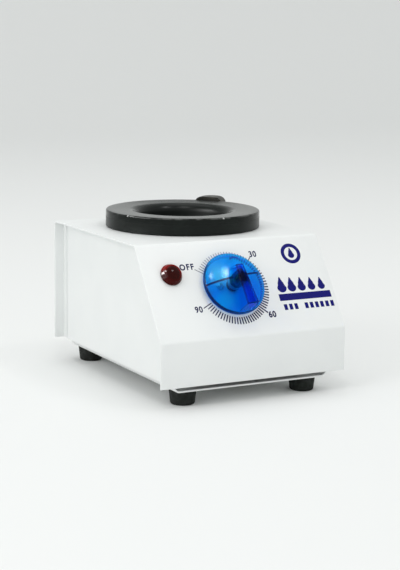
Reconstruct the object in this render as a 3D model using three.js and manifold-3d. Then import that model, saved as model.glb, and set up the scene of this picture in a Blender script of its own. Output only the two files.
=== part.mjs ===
// Wax warmer. A folded sheet-metal case on four rubber feet holds a heated well. A cast pot hangs
// in the well by its wide rim and lifts out by its grip, and a dial on the sloped front sets the heat.
// Millimetres. X runs from left to right, Y from the front to the back, Z up from the ground.
// On the sloped panel X runs across it, Y up it from the lip's bend, and Z out of it.

import * as THREE from 'three';
import { mergeVertices } from 'three/addons/utils/BufferGeometryUtils.js';
import Module from 'manifold-3d';

const wasm = await Module();
wasm.setup();

// Case: one folded strip makes the lip, the slope, the top and the back
const caseWidth = 185;
const caseDepth = 230;
const caseHeight = 117; // lip's lower edge to the top
const lipHeight = 39.4;
const slopeRun = 53.3;
const groundGap = 19.2; // ground to the lip's lower edge
const backRaise = 2.6; // back's lower edge above the lip's
const sheetWall = 1.6;
const bendRadius = 4;
const seatGap = 0.3; // between a piece and its seat
const screwGap = 0.4; // round a screw in its hole
const cutOverrun = 1;

// Side panels: set in under the strip's edges, with flanges behind the strip
const sideInset = 9.3;
const sideRaise = 2.3; // side's lower edge above the lip's
const sideRearInset = 9.7; // back's outer face to the side's rear edge
const seamGap = 1; // between the side's rear edge and the back's return
const flangeWidth = 7;
const tabEdge = 8.3; // tab's free edge beyond the middle of its foot's screw
const tabLength = 21;

// Base pan: a shallow channel, open at its front and rear ends
const panDrop = 5.6; // lip's lower edge to the pan's underside
const panSideInset = 15;
const panFrontInset = 5;
const panRearInset = 6;
const panBend = 6;

// Feet and what holds them
const footTopRadius = 12.2;
const footSoleRadius = 10.7;
const footEdge = 1.6;
const footSideInset = 31.7; // case's edge to the middle of a foot
const footFrontInset = 21;
const footRearInset = 16;
const footScrewRadius = 2;
const footHeadRadius = 3.8;
const footHeadHeight = 2.4;
const footRecess = 4.2;
const footScrewEnd = 2; // screw's end above its nut
const bossRadius = 5; // of the pan's bosses, which the side panels' tabs rest on
const footNutRadius = 4.6;
const footNutHeight = 3.2;

// Pot: wide hollow rim, tapered body
const potX = 4;
const potFrontShare = 0.639; // part of the case's spare depth that lies in front of the heat shield
const rimSideInset = 16.1; // case's right edge to the rim
const rimHeight = 16.2; // above the case's top
const rimChamfer = 1.6;
const rimDish = 1.4; // fall of the rim's top towards the mouth
const rimWall = 4;
const rimWeb = 5.2;
const mouthRound = 10;
const rimLand = 21.4; // level part of the rim's top, from its edge to the mouth's round
const boreTaper = 3;
const bodyWall = 4.5;
const potDepth = 72;
const potFloorWall = 4;
const floorRound = 12;

// Grip at the rim's rear, on a cast tongue
const gripAngle = 42 * Math.PI / 180; // from +X towards +Y
const gripReach = 23.6; // beyond the rim
const gripWidth = 28;
const gripRise = 3; // grip's top above the rim's
const gripThickness = 11.7;
const gripRound = 6.5;
const tongueWidth = 15;
const tongueThickness = 4;
const tongueInset = 7; // short of the grip's far edge
const gripScrewRadius = 2;
const gripHeadRadius = 3.6;
const gripHeadHeight = 1.5;
const gripScrewDepth = 6;

// Heated well under the pot
const wellClearance = 1.2;
const wellFloorClearance = 1.5;
const wellWall = 1.5;
const wellRound = 8;
const wellFlangeInset = 8.4; // rim's edge to the flange's
const wellHoleClearance = 1.5;
const wellScrewInset = 7; // from the flange's edge
const wellScrewCount = 4;
const wellScrewRadius = 1.6;
const wellHeadRadius = 3.2;
const wellHeadHeight = 2.2;
const wellScrewLength = 12;
const wellNutHeight = 2.8;
const shieldWall = 0.8;
const shieldOverhang = 0.8; // beyond the well's flange
const shieldHeight = 70;
const shieldFlange = 10.5;

// Band heater round the well
const bandThickness = 3.4;
const bandHeight = 34;
const bandRaise = 10; // above the well's underside
const bandSlit = 6;
const earThickness = 1.4;
const earReach = 8;
const earHeight = 14;
const clampScrewRadius = 1.6;
const clampHeadRadius = 2.8;
const clampHeadHeight = 2;
const clampEnd = 2;
const heaterTabOffset = 12;
const heaterTabWidth = 5;
const heaterTabWall = 1.2;
const heaterTabLength = 8;

// Cut-out and sensor bulb under the well, on studs with nuts
const studRadius = 1.5;
const studLength = 5.5;
const studNutRadius = 2.9;
const studNutHeight = 2.2;
const strapWall = 0.8;
const strapWidth = 12;
const cutoutOffset = -13; // from the pot's axis along Y
const cutoutPlate = 28;
const cutoutStudOffset = 10.5;
const cutoutRadius = 6.5;
const cutoutHeight = 6;
const cutoutTabOffset = 3.6;
const cutoutTabWall = 0.8;
const cutoutTabLength = 6.2;
const bulbOffset = 16;
const bulbRadius = 3;
const bulbLength = 60;
const bulbStudOffset = 8;
const capillaryRadius = 0.9;

// Thermostat behind the slope; places are on the panel, from its middle and its lower bend
const dialX = -9.4;
const dialY = 48.9;
const thermostatWidth = 34;
const thermostatHeight = 40;
const thermostatDepth = 24;
const thermostatChamfer = 4;
const bushRadius = 5;
const bushRise = 1.8;
const bushHoleClearance = 0.5;
const shaftRadius = 3;
const shaftClearance = 0.35;
const shaftFlat = 0.8;
const shaftTop = 19.5;
const shaftSink = 12;
const thermostatScrewOffset = 12;
const thermostatScrewRadius = 1.8;
const thermostatHeadRadius = 3.4;
const thermostatHeadHeight = 2;
const thermostatScrewSink = 5;
const tabWidth = 6.3;
const tabWall = 0.8;
const tabOut = 8;
const tabSpread = 16;
const tabDrop = 10; // tabs below the shaft
const capillaryRise = 12; // capillary above the shaft

// Knob: a clear domed skirt with a tall grip across it
const knobTurn = 3.9 * Math.PI / 180;
const knobRadius = 29.4;
const knobSkirtGap = 1.6; // panel to the skirt's lower edge
const knobHubGap = 3.4; // panel to the hub's lower end
const knobRimHeight = 4.6;
const knobCrown = 13.6;
const knobLean = 0.9; // skirt's lower edge inside the rim
const knobWall = 1.8;
const finHeight = 24.6;
const finTopWidth = 6;
const finTailWidth = 10.3;
const finDraft = 1.8; // each flank's spread towards the foot
const finHead = 10.2; // crest's end above the shaft
const finTail = 28; // crest's end below the shaft
const finHeadRun = 5; // foot of the upper end beyond the crest
const hubRadius = 6.4;
const ribWall = 1.4;
const ribDepth = 2.2; // below the dome's inner face
const clipWall = 0.7;
const clipHeight = 4;
const clipRaise = 1.2; // above the hub's lower end

// Indicator lamp
const lampInset = 27; // from the case's left edge
const lampY = 63.5;
const lensRadius = 10;
const lensRimHeight = 2.2;
const lensHeight = 7;
const lensBevel = 1.6;
const lampBodyRadius = 6;
const lampBodyLength = 26;
const lampTabLength = 4;
const lampTabOffset = 2.6;
const lampNutRadius = 8.4;
const lampNutHeight = 3;

// Cord gland in the back; the cord itself is left out
const glandInset = 40.5; // from the case's right edge
const glandHeight = 47.2;
const glandRadius = 7.6;
const glandBore = 4;
const glandFlangeRadius = 11;
const glandFlangeWall = 3;
const glandNoseLength = 7;
const glandNoseRadius = 7;
const glandInside = 11;
const glandNutRadius = 11.5;
const glandNutWidth = 5;

// Terminal block and earth point on the pan
const blockInset = 42.5; // pan's left edge to the block's middle
const blockY = 78;
const blockWayPitch = 10;
const blockWays = 4;
const blockDepth = 18;
const blockHeight = 14;
const blockFloor = 3;
const blockStep = 4; // height of each side ledge below the ridge
const blockRidge = 8;
const blockScrewRadius = 1.7;
const blockScrewSink = 3;
const blockFixingRadius = 1.5;
const blockFixingHead = 2.8;
const blockFixingHeadHeight = 1.6;
const earthX = 10;
const earthY = 45;
const earthRadius = 2;
const earthHeadRadius = 3.8;
const earthHeadHeight = 2;
const earthLength = 8; // stud above the pan's floor
const earthTagRadius = 4.4;
const earthTagWall = 1;
const earthTagReach = 12;
const earthNutRadius = 3.9;
const earthNutHeight = 3;
const leadRadius = 1.1;
const leadStraight = 8; // run of a lead straight out of each end
const capillaryDrop = 8; // below the heat shield
const capillaryShares = [[-0.55, -1.1], [-0.62, -0.15]]; // of the shield's radius, from the pot's axis

// Smoothness of round shapes, as counts
const wideSteps = 48;
const middleSteps = 24;
const smallSteps = 12;
const bendSteps = 4;
const roundSteps = 4;
const hexSides = 6;
const leadSides = 8;

// Heights and places that follow from the sizes above
const topZ = groundGap + caseHeight;
const lipTopZ = groundGap + lipHeight;
const backZ = groundGap + backRaise;
const sideZ = groundGap + sideRaise;
const panZ = groundGap - panDrop;
const panFloorZ = panZ + sheetWall;
const halfWidth = caseWidth / 2;
const sideX = halfWidth - sideInset;
const tabZ = sideZ + seatGap;
const footX = halfWidth - footSideInset;
const footNutTopZ = tabZ + sheetWall + footNutHeight;
const sideRearY = caseDepth - sideRearInset;
const slopeTilt = Math.atan2(caseHeight - lipHeight, slopeRun);
const footY = [footFrontInset, caseDepth - footRearInset];
const lampX = lampInset - halfWidth;
const glandX = halfWidth - glandInset;
const blockX = panSideInset + blockInset - halfWidth;
const rimTopZ = topZ + rimHeight;
const rimRadius = halfWidth - potX - rimSideInset;
const boreRadius = rimRadius - rimLand - mouthRound;
const bodyRadius = boreRadius + bodyWall;
const potFloorZ = rimTopZ - potDepth;
const potZ = potFloorZ - potFloorWall;
const wellInner = bodyRadius + wellClearance;
const wellOuter = wellInner + wellWall;
const wellFloorZ = potZ - wellFloorClearance;
const wellZ = wellFloorZ - wellWall;
const wellHole = wellOuter + wellHoleClearance;
const strapZ = wellZ - seatGap; // upper face of what is strapped under the well
const bulbZ = strapZ - bulbRadius;
const shieldTopZ = topZ - sheetWall - seatGap;
const wellFlangeRadius = rimRadius - wellFlangeInset;
const wellScrewCircle = wellFlangeRadius - wellScrewInset;
const shieldRadius = wellFlangeRadius + shieldOverhang;
const spareDepth = caseDepth - slopeRun - 2 * shieldRadius;
const potY = slopeRun + shieldRadius + potFrontShare * spareDepth;
const bandZ = wellZ + bandRaise;
const bandInner = wellOuter + seatGap;
const bandOuter = bandInner + bandThickness;
const panelBack = -sheetWall - seatGap; // in the slope's frame
const thermostatBackZ = panelBack - thermostatDepth;
const lampEndZ = panelBack - lampBodyLength;
const leadZ = panFloorZ + seatGap + blockHeight / 2;

// Finishes
function finish(color, roughness, metalness = 0) {
  return new THREE.MeshStandardMaterial({ color, roughness, metalness });
}
const whiteEnamel = finish(0xf2f4f2, 0.4);
const blackRubber = finish(0x1c1d1b, 0.85);
const zincSteel = finish(0xb9bcc0, 0.35, 0.9);
const blackCoat = finish(0x26282a, 0.5);
const blackResin = finish(0x241d1a, 0.45);
const aluminium = finish(0xc2c5c8, 0.4, 0.9);
const micaBand = finish(0x8a8378, 0.6, 0.3);
const copper = finish(0xb87650, 0.35, 0.9);
const brass = finish(0xc9a54e, 0.35, 0.9);
const darkPlastic = finish(0x1a1a1c, 0.5);
const whitePlastic = finish(0xe8e6dc, 0.5);
const blueClear = finish(0x1468d8, 0.15);
const redClear = finish(0x8c0c10, 0.15);
const blueSleeve = finish(0x2a4fa0, 0.6);
const brownSleeve = finish(0x6a4028, 0.6);
const whiteSleeve = finish(0xdedad0, 0.6);
const greenSleeve = finish(0x5f9a34, 0.6);

// A closed solid from a geometry, with its faces turned outwards
function solidOf(geometry) {
  if (geometry instanceof wasm.Manifold) return geometry;
  const bare = geometry.clone();
  bare.deleteAttribute('normal');
  bare.deleteAttribute('uv');
  const merged = mergeVertices(bare);
  const vertProperties = new Float32Array(merged.attributes.position.array);
  const corners = [];
  for (let i = 0; i < merged.index.count; i += 3) {
    const [a, b, c] = [i, i + 1, i + 2].map((k) => merged.index.getX(k));
    if (a !== b && b !== c && c !== a) corners.push(a, b, c);
  }
  if (signedVolume(vertProperties, corners) < 0) corners.reverse();
  const triVerts = new Uint32Array(corners);
  return new wasm.Manifold(new wasm.Mesh({ numProp: 3, vertProperties, triVerts }));
}

function signedVolume(places, corners) {
  const point = (i) => new THREE.Vector3().fromArray(places, 3 * corners[i]);
  let sum = 0;
  for (let i = 0; i < corners.length; i += 3) {
    sum += point(i).dot(point(i + 1).cross(point(i + 2)));
  }
  return sum / 6;
}

function join(...pieces) {
  return pieces.map(solidOf).reduce((whole, piece) => whole.add(piece));
}

function cut(base, ...tools) {
  return tools.map(solidOf).reduce((whole, tool) => whole.subtract(tool), solidOf(base));
}

function common(base, tool) {
  return solidOf(base).intersect(solidOf(tool));
}

function geometryOf(solid) {
  const { vertProperties, triVerts } = solidOf(solid).getMesh();
  const geometry = new THREE.BufferGeometry();
  geometry.setAttribute('position', new THREE.BufferAttribute(vertProperties, 3));
  geometry.setIndex(new THREE.BufferAttribute(triVerts, 1));
  geometry.computeVertexNormals();
  return geometry;
}

// Shapes: a range is [low, high]
function block([x0, x1], [y0, y1], [z0, z1]) {
  const geometry = new THREE.BoxGeometry(x1 - x0, y1 - y0, z1 - z0);
  return geometry.translate((x0 + x1) / 2, (y0 + y1) / 2, (z0 + z1) / 2);
}

function spin(profile, steps) {
  const points = profile.map(([radius, z]) => new THREE.Vector2(radius, z));
  return new THREE.LatheGeometry(points, steps).rotateX(Math.PI / 2);
}

function rod(radius, [z0, z1], steps = smallSteps) {
  const geometry = new THREE.CylinderGeometry(radius, radius, z1 - z0, steps);
  return geometry.rotateX(Math.PI / 2).translate(0, 0, (z0 + z1) / 2);
}

function ring(inner, outer, [z0, z1], steps = smallSteps) {
  return spin([[inner, z0], [outer, z0], [outer, z1], [inner, z1], [inner, z0]], steps);
}

function shapeOf(outline) {
  return new THREE.Shape(outline.map(([a, b]) => new THREE.Vector2(a, b)));
}

function prism(outline, [z0, z1]) {
  const geometry = new THREE.ExtrudeGeometry(shapeOf(outline), { depth: z1 - z0, bevelEnabled: false });
  return geometry.translate(0, 0, z0);
}

// An outline of Y and Z, run along X
function prismX(outline, range) {
  const turned = new THREE.Matrix4().makeBasis(
    new THREE.Vector3(0, 1, 0), new THREE.Vector3(0, 0, 1), new THREE.Vector3(1, 0, 0));
  return prism(outline, range).applyMatrix4(turned);
}

// An outline of X and Z, run along Y
function prismY(outline, [y0, y1]) {
  const turned = new THREE.Matrix4().makeBasis(
    new THREE.Vector3(1, 0, 0), new THREE.Vector3(0, 0, 1), new THREE.Vector3(0, -1, 0));
  return prism(outline, [-y1, -y0]).applyMatrix4(turned);
}

function alongX(geometry) {
  return geometry.rotateY(Math.PI / 2);
}

function alongY(geometry) {
  return geometry.rotateX(-Math.PI / 2);
}

function tube(points, radius) {
  const path = new THREE.CatmullRomCurve3(points);
  const circle = Array.from({ length: leadSides }, (_, i) => {
    const angle = 2 * Math.PI * i / leadSides;
    return [radius * Math.cos(angle), radius * Math.sin(angle)];
  });
  const steps = Math.max(leadSides, Math.round(path.getLength() / (6 * radius)));
  return new THREE.ExtrudeGeometry(shapeOf(circle), { steps, extrudePath: path });
}

// Points of an arc about a centre, from one angle to another
function arc([a, b], radius, from, to, steps = roundSteps) {
  return Array.from({ length: steps + 1 }, (_, i) => {
    const angle = from + (to - from) * i / steps;
    return [a + radius * Math.cos(angle), b + radius * Math.sin(angle)];
  });
}

// A run of folds that all turn right: its corners moved inwards by an offset, then rounded
function foldLine(corners, offset, radius) {
  const heads = corners.slice(1).map(([a, b], i) => {
    const [a0, b0] = corners[i];
    const length = Math.hypot(a - a0, b - b0);
    return [(a - a0) / length, (b - b0) / length];
  });
  const inwards = ([da, db]) => [db, -da];
  const line = [];
  corners.forEach(([a, b], i) => {
    const before = heads[Math.max(i - 1, 0)];
    const after = heads[Math.min(i, heads.length - 1)];
    const [n0, n1] = [inwards(before), inwards(after)];
    const spread = 1 + n0[0] * n1[0] + n0[1] * n1[1];
    const corner = [a + offset * (n0[0] + n1[0]) / spread, b + offset * (n0[1] + n1[1]) / spread];
    const turn = Math.acos(Math.min(1, n0[0] * n1[0] + n0[1] * n1[1]));
    const bend = radius - offset;
    if (bend <= 0 || turn === 0) {
      line.push(corner);
      return;
    }
    const run = bend * Math.tan(turn / 2);
    const start = [corner[0] - before[0] * run, corner[1] - before[1] * run];
    const centre = [start[0] + n0[0] * bend, start[1] + n0[1] * bend];
    const from = Math.atan2(-n0[1], -n0[0]);
    line.push(...arc(centre, bend, from, from - turn, bendSteps));
  });
  return line;
}

function foldedSheet(corners, offset, radius) {
  const outer = foldLine(corners, offset, radius);
  const inner = foldLine(corners, offset + sheetWall, radius);
  return [...outer, ...inner.reverse()];
}

// Places round the well's axis, and on the case
const wellScrewPlaces = Array.from({ length: wellScrewCount }, (_, i) => {
  const angle = 2 * Math.PI * (i + 1 / 2) / wellScrewCount;
  return [wellScrewCircle * Math.cos(angle), wellScrewCircle * Math.sin(angle)];
});

const caseCorners = [
  [0, groundGap], [0, lipTopZ], [slopeRun, topZ], [caseDepth, topZ], [caseDepth, backZ],
];

// A place on the slope, in the case's frame
const slopeMatrix = new THREE.Matrix4().makeRotationX(slopeTilt).setPosition(0, 0, lipTopZ);
function onSlope(x, y, z) {
  return new THREE.Vector3(x, y, z).applyMatrix4(slopeMatrix);
}

function coverShell() {
  const strip = prismX(foldedSheet(caseCorners, 0, bendRadius), [-halfWidth, halfWidth]);
  const returns = [-1, 1].map((side) => {
    const faces = [side * sideX, side * (sideX - sheetWall)].sort((a, b) => a - b);
    return block(faces, [sideRearY + seamGap, caseDepth - sheetWall / 2], [backZ, topZ - sheetWall / 2]);
  });
  const through = [-sheetWall - cutOverrun, cutOverrun];
  const bushHole = rod(bushRadius + bushHoleClearance, through).translate(dialX, dialY, 0);
  const screwHoles = [-1, 1].map((side) => rod(thermostatScrewRadius + screwGap, through)
    .translate(dialX + side * thermostatScrewOffset, dialY, 0));
  const lampHole = rod(lampBodyRadius + seatGap, through, middleSteps).translate(lampX, lampY, 0);
  const slopeHoles = [bushHole, ...screwHoles, lampHole].map((hole) => hole.applyMatrix4(slopeMatrix));
  const wellOpening = rod(wellHole, through, wideSteps).translate(potX, potY, topZ);
  const wellScrewHoles = wellScrewPlaces.map(([x, y]) =>
    rod(wellScrewRadius + screwGap, through).translate(potX + x, potY + y, topZ));
  const glandHole = alongY(rod(glandRadius + seatGap, through, middleSteps))
    .translate(glandX, caseDepth, glandHeight);
  return cut(join(strip, ...returns), ...slopeHoles, wellOpening, ...wellScrewHoles, glandHole);
}

// One side, made for the right and turned over for the left
function sidePanel(side) {
  const rearY = sideRearY + sheetWall + seatGap;
  const corners = [[0, sideZ], [0, lipTopZ], [slopeRun, topZ], [rearY, topZ], [rearY, sideZ]];
  const offset = sheetWall + seatGap;
  const plate = prismX(foldLine(corners, offset, bendRadius), [sideX - sheetWall, sideX]);
  const flange = prismX(foldedSheet(corners, offset, bendRadius),
    [sideX - flangeWidth, sideX - sheetWall / 2]);
  const tabs = footY.map((y) => {
    const low = Math.max(y - tabLength / 2, offset);
    const high = Math.min(y + tabLength / 2, sideRearY);
    return block([footX - tabEdge, sideX - sheetWall / 2], [low, high], [tabZ, tabZ + sheetWall]);
  });
  const nuts = footY.map((y) => rod(footNutRadius, [tabZ + sheetWall / 2, footNutTopZ], hexSides)
    .translate(footX, y, 0));
  const through = [tabZ - cutOverrun, footNutTopZ + cutOverrun];
  const holes = footY.map((y) => rod(footScrewRadius + screwGap, through).translate(footX, y, 0));
  const right = cut(join(plate, flange, ...tabs, ...nuts), ...holes);
  return side > 0 ? right : solidOf(geometryOf(right).scale(-1, 1, 1));
}

const blockWidth = blockWays * blockWayPitch;
const glandAxis = (geometry) => alongY(geometry).translate(glandX, caseDepth, glandHeight);

const footPlaces = [-1, 1].flatMap((side) => footY.map((y) => [side * footX, y]));

function basePan() {
  const x = halfWidth - panSideInset;
  const rim = sideZ - seatGap;
  const outline = foldedSheet([[x, rim], [x, panZ], [-x, panZ], [-x, rim]], 0, panBend);
  const channel = prismY(outline, [panFrontInset, caseDepth - panRearInset]);
  const through = [panZ - cutOverrun, tabZ + cutOverrun];
  const bosses = footPlaces.map(([px, py]) =>
    rod(bossRadius, [panZ + sheetWall / 2, tabZ - seatGap]).translate(px, py, 0));
  const feet = footPlaces.map(([px, py]) =>
    rod(footScrewRadius + screwGap, through).translate(px, py, 0));
  const blockHole = rod(blockFixingRadius + screwGap, through).translate(blockX, blockY, 0);
  const earthHole = rod(earthRadius + screwGap, through).translate(earthX, earthY, 0);
  return cut(join(channel, ...bosses), ...feet, blockHole, earthHole);
}

function foot() {
  const top = panZ - seatGap;
  const lean = Math.atan2(footTopRadius - footSoleRadius, top);
  const edge = arc([footSoleRadius - footEdge, footEdge], footEdge, -Math.PI / 2, -lean, bendSteps);
  const body = spin([[0, 0], ...edge, [footTopRadius, top], [0, top]], middleSteps);
  const bore = rod(footScrewRadius + screwGap, [-cutOverrun, top + cutOverrun]);
  const recess = rod(footHeadRadius + cutOverrun, [-cutOverrun, footRecess]);
  return cut(body, bore, recess);
}

function footScrew() {
  const headZ = footRecess - seatGap;
  return join(rod(footHeadRadius, [headZ - footHeadHeight, headZ]),
    rod(footScrewRadius, [headZ - footHeadHeight / 2, footNutTopZ + footScrewEnd]));
}

function hexNut(screwRadius, radius, range, steps = smallSteps) {
  const bore = rod(screwRadius + seatGap, [range[0] - cutOverrun, range[1] + cutOverrun], steps);
  return geometryOf(cut(rod(radius, range, hexSides), bore));
}

// Pot's own frame: its axis is Z and its grip points along X
function waxPot() {
  const skirtZ = topZ + seatGap;
  const webZ = rimTopZ - rimWeb;
  const mouthRadius = boreRadius + mouthRound;
  const mouthZ = rimTopZ - rimDish - mouthRound;
  const floorRadius = boreRadius - boreTaper;
  const footRadius = floorRadius + bodyWall;
  const body = spin([
    [0, potZ],
    ...arc([footRadius - floorRound, potZ + floorRound], floorRound, -Math.PI / 2, 0),
    [bodyRadius, webZ],
    [rimRadius - rimWall, webZ],
    [rimRadius - rimWall, skirtZ],
    [rimRadius, skirtZ],
    [rimRadius, rimTopZ - rimChamfer],
    [rimRadius - rimChamfer, rimTopZ],
    ...arc([mouthRadius, mouthZ], mouthRound, Math.PI / 2, Math.PI),
    ...arc([floorRadius - floorRound, potFloorZ + floorRound], floorRound, 0, -Math.PI / 2),
    [0, potFloorZ],
  ], wideSteps);
  const tongue = block([rimRadius - rimWall, gripEndX - tongueInset],
    [-tongueWidth / 2, tongueWidth / 2], tongueRange);
  const hole = rod(gripScrewRadius + screwGap, [tongueRange[0] - cutOverrun,
    tongueRange[1] + cutOverrun]).translate(gripScrewX, 0, 0);
  return cut(join(body, tongue), hole);
}

const gripTopZ = rimTopZ + gripRise;
const gripZ = gripTopZ - gripThickness;
const tongueRange = [gripZ - seatGap - tongueThickness, gripZ - seatGap];
const gripInnerX = rimRadius + seatGap;
const gripEndX = rimRadius + gripReach;
const gripScrewX = (gripInnerX + gripEndX) / 2;

function potGrip() {
  const half = gripWidth / 2;
  const near = gripInnerX + gripRound;
  const centre = gripEndX - half;
  const outline = (inset) => [
    [near - gripRound + inset, inset - half],
    ...arc([centre, 0], half - inset, -Math.PI / 2, Math.PI / 2, 2 * roundSteps),
    [near - gripRound + inset, half - inset],
  ];
  const steps = Array.from({ length: roundSteps + 1 }, (_, i) => {
    const angle = Math.PI / 2 * i / roundSteps;
    return { inset: gripRound * (1 - Math.cos(angle)), z: gripTopZ - gripRound * (1 - Math.sin(angle)) };
  });
  const rimClear = rod(gripInnerX, [gripZ - cutOverrun, gripTopZ + cutOverrun], wideSteps);
  const layers = steps.slice(1).map(({ inset, z }, i) =>
    prism(outline(inset), [i === 0 ? gripZ : steps[i].z - seatGap, z]));
  const hole = rod(gripScrewRadius + screwGap, [gripZ - cutOverrun, gripZ + gripScrewDepth + seatGap]);
  return cut(join(...layers), rimClear, hole.translate(gripScrewX, 0, 0));
}

function gripScrew() {
  const headTop = tongueRange[0] - seatGap;
  const screw = join(rod(gripHeadRadius, [headTop - gripHeadHeight, headTop]),
    rod(gripScrewRadius, [headTop - gripHeadHeight / 2, gripZ + gripScrewDepth]));
  return geometryOf(screw).translate(gripScrewX, 0, 0);
}

// Frame of the well and all that it carries: its axis is Z
const studPlaces = [
  [-cutoutStudOffset, cutoutOffset], [cutoutStudOffset, cutoutOffset],
  [0, bulbOffset - bulbStudOffset], [0, bulbOffset + bulbStudOffset],
];

function heaterWell() {
  const flange = [topZ + seatGap, topZ + seatGap + wellWall];
  const outerRound = wellRound + wellWall;
  const cup = spin([
    [0, wellZ],
    ...arc([wellOuter - outerRound, wellZ + outerRound], outerRound, -Math.PI / 2, 0),
    [wellOuter, flange[0]],
    [wellFlangeRadius, flange[0]],
    [wellFlangeRadius, flange[1]],
    [wellInner, flange[1]],
    ...arc([wellInner - wellRound, wellFloorZ + wellRound], wellRound, 0, -Math.PI / 2),
    [0, wellFloorZ],
  ], wideSteps);
  const studs = studPlaces.map(([x, y]) =>
    rod(studRadius, [wellZ - studLength, wellZ + wellWall / 2]).translate(x, y, 0));
  const holes = wellScrewPlaces.map(([x, y]) =>
    rod(wellScrewRadius + screwGap, [flange[0] - cutOverrun, flange[1] + cutOverrun]).translate(x, y, 0));
  return cut(join(cup, ...studs), ...holes);
}

const wellHeadZ = topZ + seatGap + wellWall + seatGap;

function wellScrew() {
  return join(rod(wellHeadRadius, [wellHeadZ, wellHeadZ + wellHeadHeight]),
    rod(wellScrewRadius, [wellHeadZ - wellScrewLength, wellHeadZ + wellHeadHeight / 2]));
}

function heatShield() {
  const inner = shieldRadius - shieldWall;
  const sleeve = spin([
    [inner, shieldTopZ - shieldHeight],
    [shieldRadius, shieldTopZ - shieldHeight],
    [shieldRadius, shieldTopZ],
    [shieldRadius - shieldFlange, shieldTopZ],
    [shieldRadius - shieldFlange, shieldTopZ - shieldWall],
    [inner, shieldTopZ - shieldWall],
    [inner, shieldTopZ - shieldHeight],
  ], wideSteps);
  const nutZ = shieldTopZ - shieldWall - wellNutHeight;
  const nuts = wellScrewPlaces.map(([x, y]) =>
    rod(wellHeadRadius, [nutZ, shieldTopZ - shieldWall / 2], hexSides).translate(x, y, 0));
  const holes = wellScrewPlaces.map(([x, y]) =>
    rod(wellScrewRadius + screwGap, [nutZ - cutOverrun, shieldTopZ + cutOverrun]).translate(x, y, 0));
  return cut(join(sleeve, ...nuts), ...holes);
}

const heaterTabY = -Math.sqrt((bandInner + bandThickness / 2) ** 2 - heaterTabOffset ** 2);
const clampX = bandOuter + earReach / 2;
const clampZ = bandZ + bandHeight / 2;

function bandHeater() {
  const band = ring(bandInner, bandOuter, [bandZ, bandZ + bandHeight], wideSteps);
  const slit = block([-bandSlit / 2, bandSlit / 2], [0, bandOuter + cutOverrun],
    [bandZ - cutOverrun, bandZ + bandHeight + cutOverrun]);
  const ears = [-1, 1].map((side) => {
    const faces = [side * bandSlit / 2, side * (bandSlit / 2 + earThickness)].sort((a, b) => a - b);
    return block(faces, [bandInner + bandThickness / 2, bandOuter + earReach],
      [clampZ - earHeight / 2, clampZ + earHeight / 2]);
  });
  const tabs = [-1, 1].map((side) => block(
    [side * heaterTabOffset - heaterTabWidth / 2, side * heaterTabOffset + heaterTabWidth / 2],
    [heaterTabY - heaterTabWall / 2, heaterTabY + heaterTabWall / 2],
    [bandZ - heaterTabLength, bandZ + heaterTabWall]));
  const reach = bandSlit / 2 + earThickness + cutOverrun;
  const hole = alongX(rod(clampScrewRadius + seatGap, [-reach, reach])).translate(0, clampX, clampZ);
  return cut(join(cut(band, slit), ...ears, ...tabs), hole);
}

const clampFace = bandSlit / 2 + earThickness + seatGap;

function clampScrew() {
  const end = clampFace + clampHeadHeight + clampEnd;
  const screw = join(rod(clampHeadRadius, [-clampFace - clampHeadHeight, -clampFace]),
    rod(clampScrewRadius, [-clampFace - clampHeadHeight / 2, end]));
  return alongX(geometryOf(screw)).translate(0, clampX, clampZ);
}

function clampNut() {
  const nut = hexNut(clampScrewRadius, clampHeadRadius, [clampFace, clampFace + clampHeadHeight]);
  return alongX(nut).translate(0, clampX, clampZ);
}

function thermalCutout() {
  const plate = block([-cutoutPlate / 2, cutoutPlate / 2], [-strapWidth / 2, strapWidth / 2],
    [strapZ - strapWall, strapZ]);
  const bottom = strapZ - strapWall - cutoutHeight;
  const body = rod(cutoutRadius, [bottom, strapZ - strapWall / 2], middleSteps);
  const tabs = [-1, 1].map((side) => block(
    [side * cutoutTabOffset - cutoutTabWall / 2, side * cutoutTabOffset + cutoutTabWall / 2],
    [-heaterTabWidth / 2, heaterTabWidth / 2],
    [bottom - cutoutTabLength, bottom + cutoutTabWall]));
  const holes = [-1, 1].map((side) => rod(studRadius + screwGap,
    [strapZ - strapWall - cutOverrun, strapZ + cutOverrun]).translate(side * cutoutStudOffset, 0, 0));
  return geometryOf(cut(join(plate, body, ...tabs), ...holes)).translate(0, cutoutOffset, 0);
}

function bulbClip() {
  const half = [-strapWidth / 2, strapWidth / 2];
  const reach = bulbStudOffset + studRadius + 2 * strapWall;
  const plate = block(half, [-reach, reach], [strapZ - strapWall, strapZ]);
  const bend = alongX(rod(bulbRadius + seatGap + strapWall, half)).translate(0, 0, bulbZ);
  const groove = alongX(rod(bulbRadius + seatGap, [-strapWidth, strapWidth])).translate(0, 0, bulbZ);
  const above = block([-strapWidth, strapWidth], [-reach, reach], [strapZ, strapZ + bulbRadius]);
  const holes = [-1, 1].map((side) => rod(studRadius + screwGap,
    [strapZ - strapWall - cutOverrun, strapZ + cutOverrun]).translate(0, side * bulbStudOffset, 0));
  return geometryOf(cut(join(plate, bend), groove, above, ...holes)).translate(0, bulbOffset, 0);
}

function studNut() {
  const top = strapZ - strapWall - seatGap;
  return hexNut(studRadius, studNutRadius, [top - studNutHeight, top]);
}

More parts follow.
